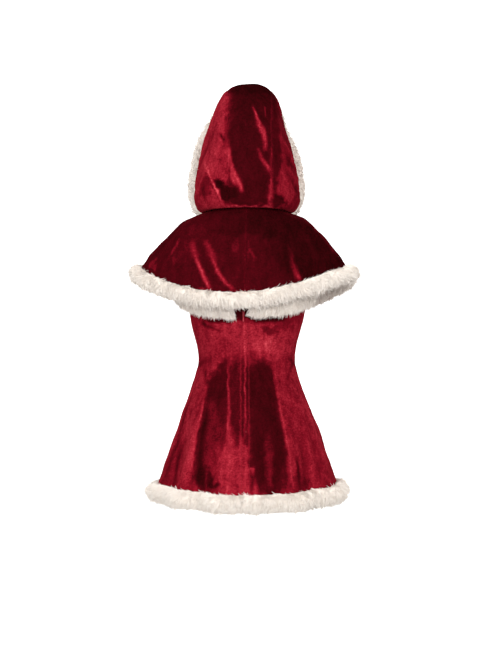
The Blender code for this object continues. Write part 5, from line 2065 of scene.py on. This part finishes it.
@dataclass
class Trims:
    """The four plush rolls, each on the edge of the cloth that carries it."""

    dress: Dress
    cape: Cape
    hood: Hood
    plush: Material
    hem_half: Pair = (0.0240, 0.0215)
    hem_out: float = 0.001
    hem_join: Triple = (0.03, 0.09, 0.10)
    cape_half: Pair = (0.0205, 0.0200)
    face_half: Pair = (0.0185, 0.0190)
    edge_gap: float = 0.0008
    aside: Pair = (0.016, 0.012)
    aside_to: Pair = (0.530, 0.505)
    aside_fade: float = 0.09
    aside_end: float = 0.2
    chin_from: float = 0.352
    chin_over: float = 0.033
    band_thick: float = 0.030
    fuller_left: float = 0.18
    band_from_left: float = 0.0215
    band_from_right: float = 0.0160
    right_rise: float = 0.0045
    band_open: float = 0.35
    rise_from: float = 1.2
    rise_over: float = 0.4
    stations: int = 240
    end_reach: float = 0.022
    end_blunt: float = 0.10
    swell: float = 0.05
    hem_swell: float = 0.04
    band_more: float = 0.0012
    band_clear: float = 0.0004
    band_thin: float = 0.35
    band_short: float = 0.6
    aside_lean: float = 0.85

    def end_scales(self, share: Array, length: float) -> Array:
        """How a roll closes at its two ends."""
        from_end = np.minimum(share, 1 - share) * length / self.end_reach
        return np.sqrt(np.clip(from_end + self.end_blunt, 0.0, 1.0))

    @staticmethod
    def on_edge(
        frame_at: Arrays,
        scale: Array,
        half: Pair,
        outward: float = 0.0,
        closed: bool = False,
    ) -> RollPath:
        """Hangs a roll on an edge.

        Args:
            frame_at: The edge's points, ways out and ways down.
            scale: The roll's swelling at each.
            half: Half its height along the cloth, and half its thickness.
            outward: How far out it sits.
            closed: Whether it goes all the way round.

        Returns:
            The roll's line.
        """
        edge, out, down = frame_at
        tall, thick = half
        edge = edge + down * (tall * (scale - 1))[:, None]
        middle = edge + down * (tall + SEAM_GAP) + out * outward
        return RollPath(middle, out, down, tall * scale, thick * scale, closed)

    def hem(self) -> RollPath:
        """The roll round the skirt's hem, pinched a little where it is joined at the back."""
        form = self.dress.form
        angle = np.linspace(0, FULL_TURN, self.stations * 2, endpoint=False)
        place, reach, pinch = self.hem_join
        join = np.exp(-((turned_from(angle, place) / reach) ** 2))
        scale = lump(angle, self.hem_swell, 1.3) * (1 - pinch * join)
        frame_at = form.frame(angle, form.hem(angle))
        return self.on_edge(frame_at, scale, self.hem_half, self.hem_out, closed=True)

    def cape_hem(self) -> RollPath:
        """The roll round the cape's hem, from one front edge to the other."""
        form = self.cape.form
        across = np.linspace(-1, 1, self.stations * 2)
        one = np.ones_like(across)
        angle = np.sign(across) * form.spread(np.abs(across), one)
        frame_at = form.frame(angle, one)
        ends = self.end_scales((across + 1) / 2, line_length(frame_at[0]))
        return self.on_edge(frame_at, lump(angle, self.swell, 2.2) * ends, self.cape_half)

    def face(self) -> RollPath:
        """The roll round the face, from one side of the chin to the other."""
        edge = self.hood.face_edge()
        run = run_of(edge)
        share = np.linspace(0, 1, self.stations)
        points = read_along(run, edge, share * run[-1])
        for _ in range(3):
            points[1:-1] = (points[:-2] + points[1:-1] + points[2:]) / 3
        middle = points.mean(axis=0)
        forward = np.broadcast_to(self.hood.form.face_way(), points.shape)
        outward = unit(np.cross(np.gradient(points, axis=0), forward))
        outward[((points - middle) * outward).sum(axis=1) < 0] *= -1
        scale = lump(6.0 * share, self.swell, 0.9) * self.end_scales(share, float(run[-1]))
        tall, thick = (half * scale for half in self.face_half)
        on_left = points[:, 0] > 0
        above = points[:, 2] - np.where(on_left, *self.aside_to)
        flare = blended(1.0, self.aside_end, above / self.aside_fade)
        flare = flare * eased((points[:, 2] - self.chin_from) / self.chin_over)
        aside = np.where(on_left, *self.aside) * flare
        lean = np.sqrt(np.clip(1 - (self.aside_lean * aside / thick) ** 2, 0.0, 1.0))
        ahead = tall * lean + self.edge_gap
        middle = points + forward * ahead[:, None] + outward * aside[:, None]
        return RollPath(middle, outward, forward.copy(), tall, thick)

    def band(self) -> RollPath:
        """The band on the outside of the bodice's top, parted at the centre back."""
        form = self.dress.form
        seam = BACK_SEAM.angle(form, np.array([form.top_back]))[0]
        depth = float(form.rows.at(np.array([form.top_back]))[0, 2])
        start = seam + self.band_from_left / depth
        end = FULL_TURN + seam - self.band_from_right / depth
        angle = np.linspace(start, end, self.stations * 2)
        height = form.top(angle) + self.dress.band_over - self.dress.band_height / 2
        beyond = (angle / math.pi - self.rise_from) / self.rise_over
        height = height + blended(0.0, self.right_rise, beyond)
        points, out, down = form.frame(angle, height)
        ends = self.end_scales((angle - start) / (end - start), line_length(points))
        swell = lump(angle, self.swell, 0.4) * (1 + self.fuller_left * np.sin(angle))
        swell = swell * (self.band_thin + (1 - self.band_thin) * ends)
        thick = (self.band_thick + self.band_more) / 2 * swell
        middle = points + out * (WALL / 2 + SEAM_GAP + thick + self.band_clear)[:, None]
        tall = np.full_like(thick, self.dress.band_height / 2)
        tall = tall * (self.band_short + (1 - self.band_short) * ends)
        return RollPath(middle, out, down, tall, thick)

    def build(self) -> None:
        """Makes the four rolls."""
        band_pile = Pile(
            211, length=0.0114, seat=(1.0, 1.0), droop=1.0, slant=0.15, spacing=0.00150,
            clumping=0.44, guard_share=0.17,
        )
        cape_pile = Pile(307, spacing=0.00176, slant=-0.25)
        face_pile = Pile(401, spacing=0.00172, droop=0.30, slant=-0.5)
        open_turns = (-self.band_open, math.pi + self.band_open)
        for roll in (
            PlushRoll("dress_hem_trim", self.hem(), Pile(101), self.plush),
            PlushRoll("dress_top_trim", self.band(), band_pile, self.plush, *open_turns),
            PlushRoll("cape_hem_trim", self.cape_hem(), cape_pile, self.plush),
            PlushRoll("hood_trim", self.face(), face_pile, self.plush),
        ):
            roll.build()


# The zip and the sewing


@dataclass
class Sewing:
    """The stitches that show, and the zip's teeth inside the closed edges."""

    dress: Dress
    cape: Cape
    thread: Material
    stitch_length: float = 0.0024
    stitch_step: float = 0.0036
    thread_radius: float = 0.00028
    arch_high: float = 0.9
    arch_steep: float = 7.0
    look: float = 0.001
    tack_pitch: float = 2.1
    placket_left: float = 0.0105
    placket_right: float = 0.0095
    placket_rows: Pair = (3.2, 13.9)
    cape_inset: float = 0.0060
    cape_rows: Pair = (0.04, 0.97)
    tape_thick: float = 0.0010
    tooth_radius: float = 0.00045
    tooth_width: float = 0.0042
    tooth_step: float = 0.0016
    zip_foot: float = -0.160
    zip_head: float = 0.110
    tack_height: float = -0.1595
    tack_width: float = 0.0056
    tack_threads: int = 7

    @staticmethod
    def stitch_template() -> Arrays:
        """A stitch of length 1 along x and radius 1: a short thread sunk at both ends."""
        bm = bmesh.new()
        bmesh.ops.create_cone(bm, cap_ends=True, segments=6, radius1=1.0, radius2=1.0, depth=1.0)
        for height in (-0.3, 0.0, 0.3):
            split(bm, (0.0, 0.0, height), (0.0, 0.0, 1.0))
        bmesh.ops.rotate(
            bm, verts=bm.verts, cent=(0, 0, 0), matrix=Matrix.Rotation(math.pi / 2, 3, "Y")
        )
        bmesh.ops.recalc_face_normals(bm, faces=bm.faces)
        return template_of(bm)

    def laid(self, name: str, at: Array, way: Array, up: Array, length: float, radius: float) -> None:
        """Lays a short thread at each place.

        Args:
            name: The piece's name.
            at: The places.
            way: The way that each thread runs.
            up: The way out of what it lies on.
            length: How long each is.
            radius: How thick.
        """
        side = np.cross(up, way)
        shape, faces = self.stitch_template()
        arch = radius * (self.arch_high - self.arch_steep * shape[:, 0] ** 2)
        points = (
            at[:, None]
            + way[:, None] * (shape[:, 0] * length)[:, None]
            + side[:, None] * (shape[:, 1] * radius)[:, None]
            + up[:, None] * (shape[:, 2] * radius + arch)[:, None]
        )
        finished(joined_mesh(name, points, faces), self.thread)
        LOG.info("threads %s: %d", name, len(at))

    def stitches(self, name: str, line: Array, out: Array) -> None:
        """Lays stitches along a line.

        Args:
            name: The piece's name.
            line: The line's points on the middle of the cloth.
            out: The ways out of the cloth there.
        """
        line = line + out * (WALL / 2)
        run = run_of(line)
        places = np.arange(self.stitch_step, run[-1], self.stitch_step)
        after, before = (read_along(run, line, places + step) for step in (self.look, -self.look))
        at, up = read_along(run, line, places), unit(read_along(run, out, places))
        self.laid(name, at, unit(after - before), up, self.stitch_length, self.thread_radius)

    def placket(self) -> None:
        """The two rows of stitching beside the zip."""
        for name, panel, distance in (
            ("placket_stitches_left", self.dress.panels[0], self.placket_left),
            ("placket_stitches_right", self.dress.panels[-1], self.placket_right),
        ):
            row = np.linspace(*self.placket_rows, 260)
            share = distance / self.dress.width(panel, row)
            across = share if panel is self.dress.panels[0] else 1 - share
            points, out, _ = self.dress.pressed(panel, across, row)
            self.stitches(name, points, out)

    def cape_edges(self) -> None:
        """The row of stitching beside each front edge of the cape."""
        share = np.linspace(*self.cape_rows, 200)
        width = self.cape.form.rows.at(share)[:, 1] * math.pi
        for name, sign in (("cape_edge_stitches_left", 1), ("cape_edge_stitches_right", -1)):
            points, out, _ = self.cape.pressed(sign, 1 - self.cape_inset / width, share)
            self.stitches(name, points, out)

    def across_seam(self, height: Array) -> Arrays:
        """Places on the centre-back seam, the ways across it and the ways out."""
        at, out, down = self.dress.form.frame(BACK_SEAM.angle(self.dress.form, height), height)
        return at, unit(np.cross(out, down)), out

    def teeth(self) -> None:
        """The zip's teeth, on the inner faces of its tapes, closed up to the slider."""
        at, way, out = self.across_seam(np.arange(self.zip_foot, self.zip_head, self.tooth_step))
        inside = WALL / 2 + SEAM_GAP + self.tape_thick + self.tooth_radius
        self.laid("zip_teeth", at - out * inside, way, -out, self.tooth_width, self.tooth_radius)

    def bar_tack(self) -> None:
        """The close threads across the seam at the zip's foot."""
        step = self.tack_pitch * self.thread_radius
        at, way, out = self.across_seam(self.tack_height + step * np.arange(self.tack_threads))
        at = at + out * (WALL / 2)
        self.laid("zip_bar_tack", at, way, out, self.tack_width, self.thread_radius)

    def build(self) -> None:
        """Makes the stitches and the teeth."""
        self.placket()
        self.cape_edges()
        self.teeth()
        self.bar_tack()


@dataclass
class Hardware:
    """The zip's slider, pull and tapes, and the neck's hook and eye: the model's own solids."""

    def build(self) -> None:
        """Gives each its finish."""
        for finish, names in (
            (TapeFinish().material(), ("zip_tape_left", "zip_tape_right")),
            (EnamelFinish().material(), ("zip_slider", "zip_pull")),
            (SteelFinish().material(), ("neck_hook", "neck_eye")),
        ):
            for name in names:
                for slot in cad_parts[name].material_slots:
                    slot.material = finish
                LOG.info("finish %s: %s", name, finish.name)


# The studio


@dataclass
class Studio:
    """The white paper, the soft lights and the camera where the photographer stood."""

    floor_height: float = -1.15
    camera_place: Triple = (-0.0072, 3.2, 0.0624)
    picture_height: float = 1.6128
    sensor: float = 36.0
    ambient: float = 0.47
    aim: Triple = (0.0, 0.0, 0.12)
    floor_glow: float = 1.2
    dome_glow: float = 1.4
    lights: tuple[tuple[str, Triple, float, float], ...] = (
        ("left_box", (1.9, 4.3, 0.9), 2.6, 134.0),
        ("right_box", (-1.9, 4.3, 0.9), 2.6, 116.0),
        ("front_left_box", (2.4, -3.9, 1.2), 2.6, 70.0),
        ("front_right_box", (-2.4, -3.9, 1.2), 2.6, 70.0),
        ("top_box", (0.0, 0.4, 4.4), 2.0, 30.0),
    )

    def camera(self) -> None:
        """Sets the camera level behind the wearer, with the photograph's frame."""
        data = bpy.data.cameras.new("photographer")
        data.sensor_width = self.sensor
        data.lens = self.sensor * self.camera_place[1] / self.picture_height
        data.clip_end = 60.0
        camera = linked("photographer", data)
        camera.location = self.camera_place
        camera.rotation_euler = (math.pi / 2, 0.0, math.pi)
        bpy.context.scene.camera = camera

    def light(self, name: str, place: Triple, size: float, watts: float) -> None:
        """Hangs a square soft box that looks at the garment.

        Args:
            name: The light's name.
            place: Where it hangs.
            size: How wide it is.
            watts: Its power.
        """
        data = bpy.data.lights.new(name, "AREA")
        data.shape = "SQUARE"
        data.size = size
        data.energy = watts
        lamp = linked(name, data)
        lamp.location = place
        away = Vector(place) - Vector(self.aim)
        lamp.rotation_euler = away.to_track_quat("Z", "Y").to_euler()
        lamp.visible_camera = False

    def paper(self) -> None:
        """Lays the floor and raises the backdrop round the garment."""
        bm = bmesh.new()
        bmesh.ops.create_circle(bm, cap_ends=True, segments=96, radius=14.0)
        bmesh.ops.translate(bm, verts=bm.verts, vec=(0.0, 0.0, self.floor_height))
        self.staged("studio_floor", bm, self.floor_glow)
        bm = bmesh.new()
        bmesh.ops.create_uvsphere(bm, u_segments=64, v_segments=32, radius=16.0)
        bmesh.ops.reverse_faces(bm, faces=bm.faces)
        self.staged("studio_backdrop", bm, self.dome_glow)

    @staticmethod
    def staged(name: str, bm: BMesh, glow: float) -> None:
        """Makes a piece of paper that only the camera sees, so that it adds no light or shadow."""
        piece = linked(name, mesh_from(bm, name))
        piece.data.materials.append(PaperFinish(glow).material())
        for ray in ("diffuse", "glossy", "transmission", "shadow"):
            setattr(piece, "visible_" + ray, False)

    def world(self) -> None:
        """Fills the room with even light."""
        world = bpy.data.worlds.new("studio_air")
        world.use_nodes = True
        ground = world.node_tree.nodes["Background"]
        ground.inputs["Color"].default_value = (1.0, 0.98, 0.95, 1.0)
        ground.inputs["Strength"].default_value = self.ambient
        bpy.context.scene.world = world
        bpy.context.scene.view_settings.view_transform = "Standard"

    def build(self) -> None:
        """Makes the room, its lights and the camera."""
        self.camera()
        self.paper()
        self.world()
        for light in self.lights:
            self.light(*light)


def main() -> None:
    """Builds the studio and the garment, piece by piece."""
    logging.basicConfig(level=logging.INFO, format="%(name)s: %(message)s")
    Studio().build()
    velvet = VelvetFinish().material()
    plush = PlushFinish().material()
    thread = ThreadFinish().material()
    dress, cape, hood = Dress(velvet), Cape(velvet), Hood(velvet)
    for garment in (dress, cape, hood):
        garment.build()
    NeckSeam(velvet, cape, hood).build()
    Trims(dress, cape, hood, plush).build()
    Sewing(dress, cape, thread).build()
    Hardware().build()


if __name__ == "__main__":
    main()
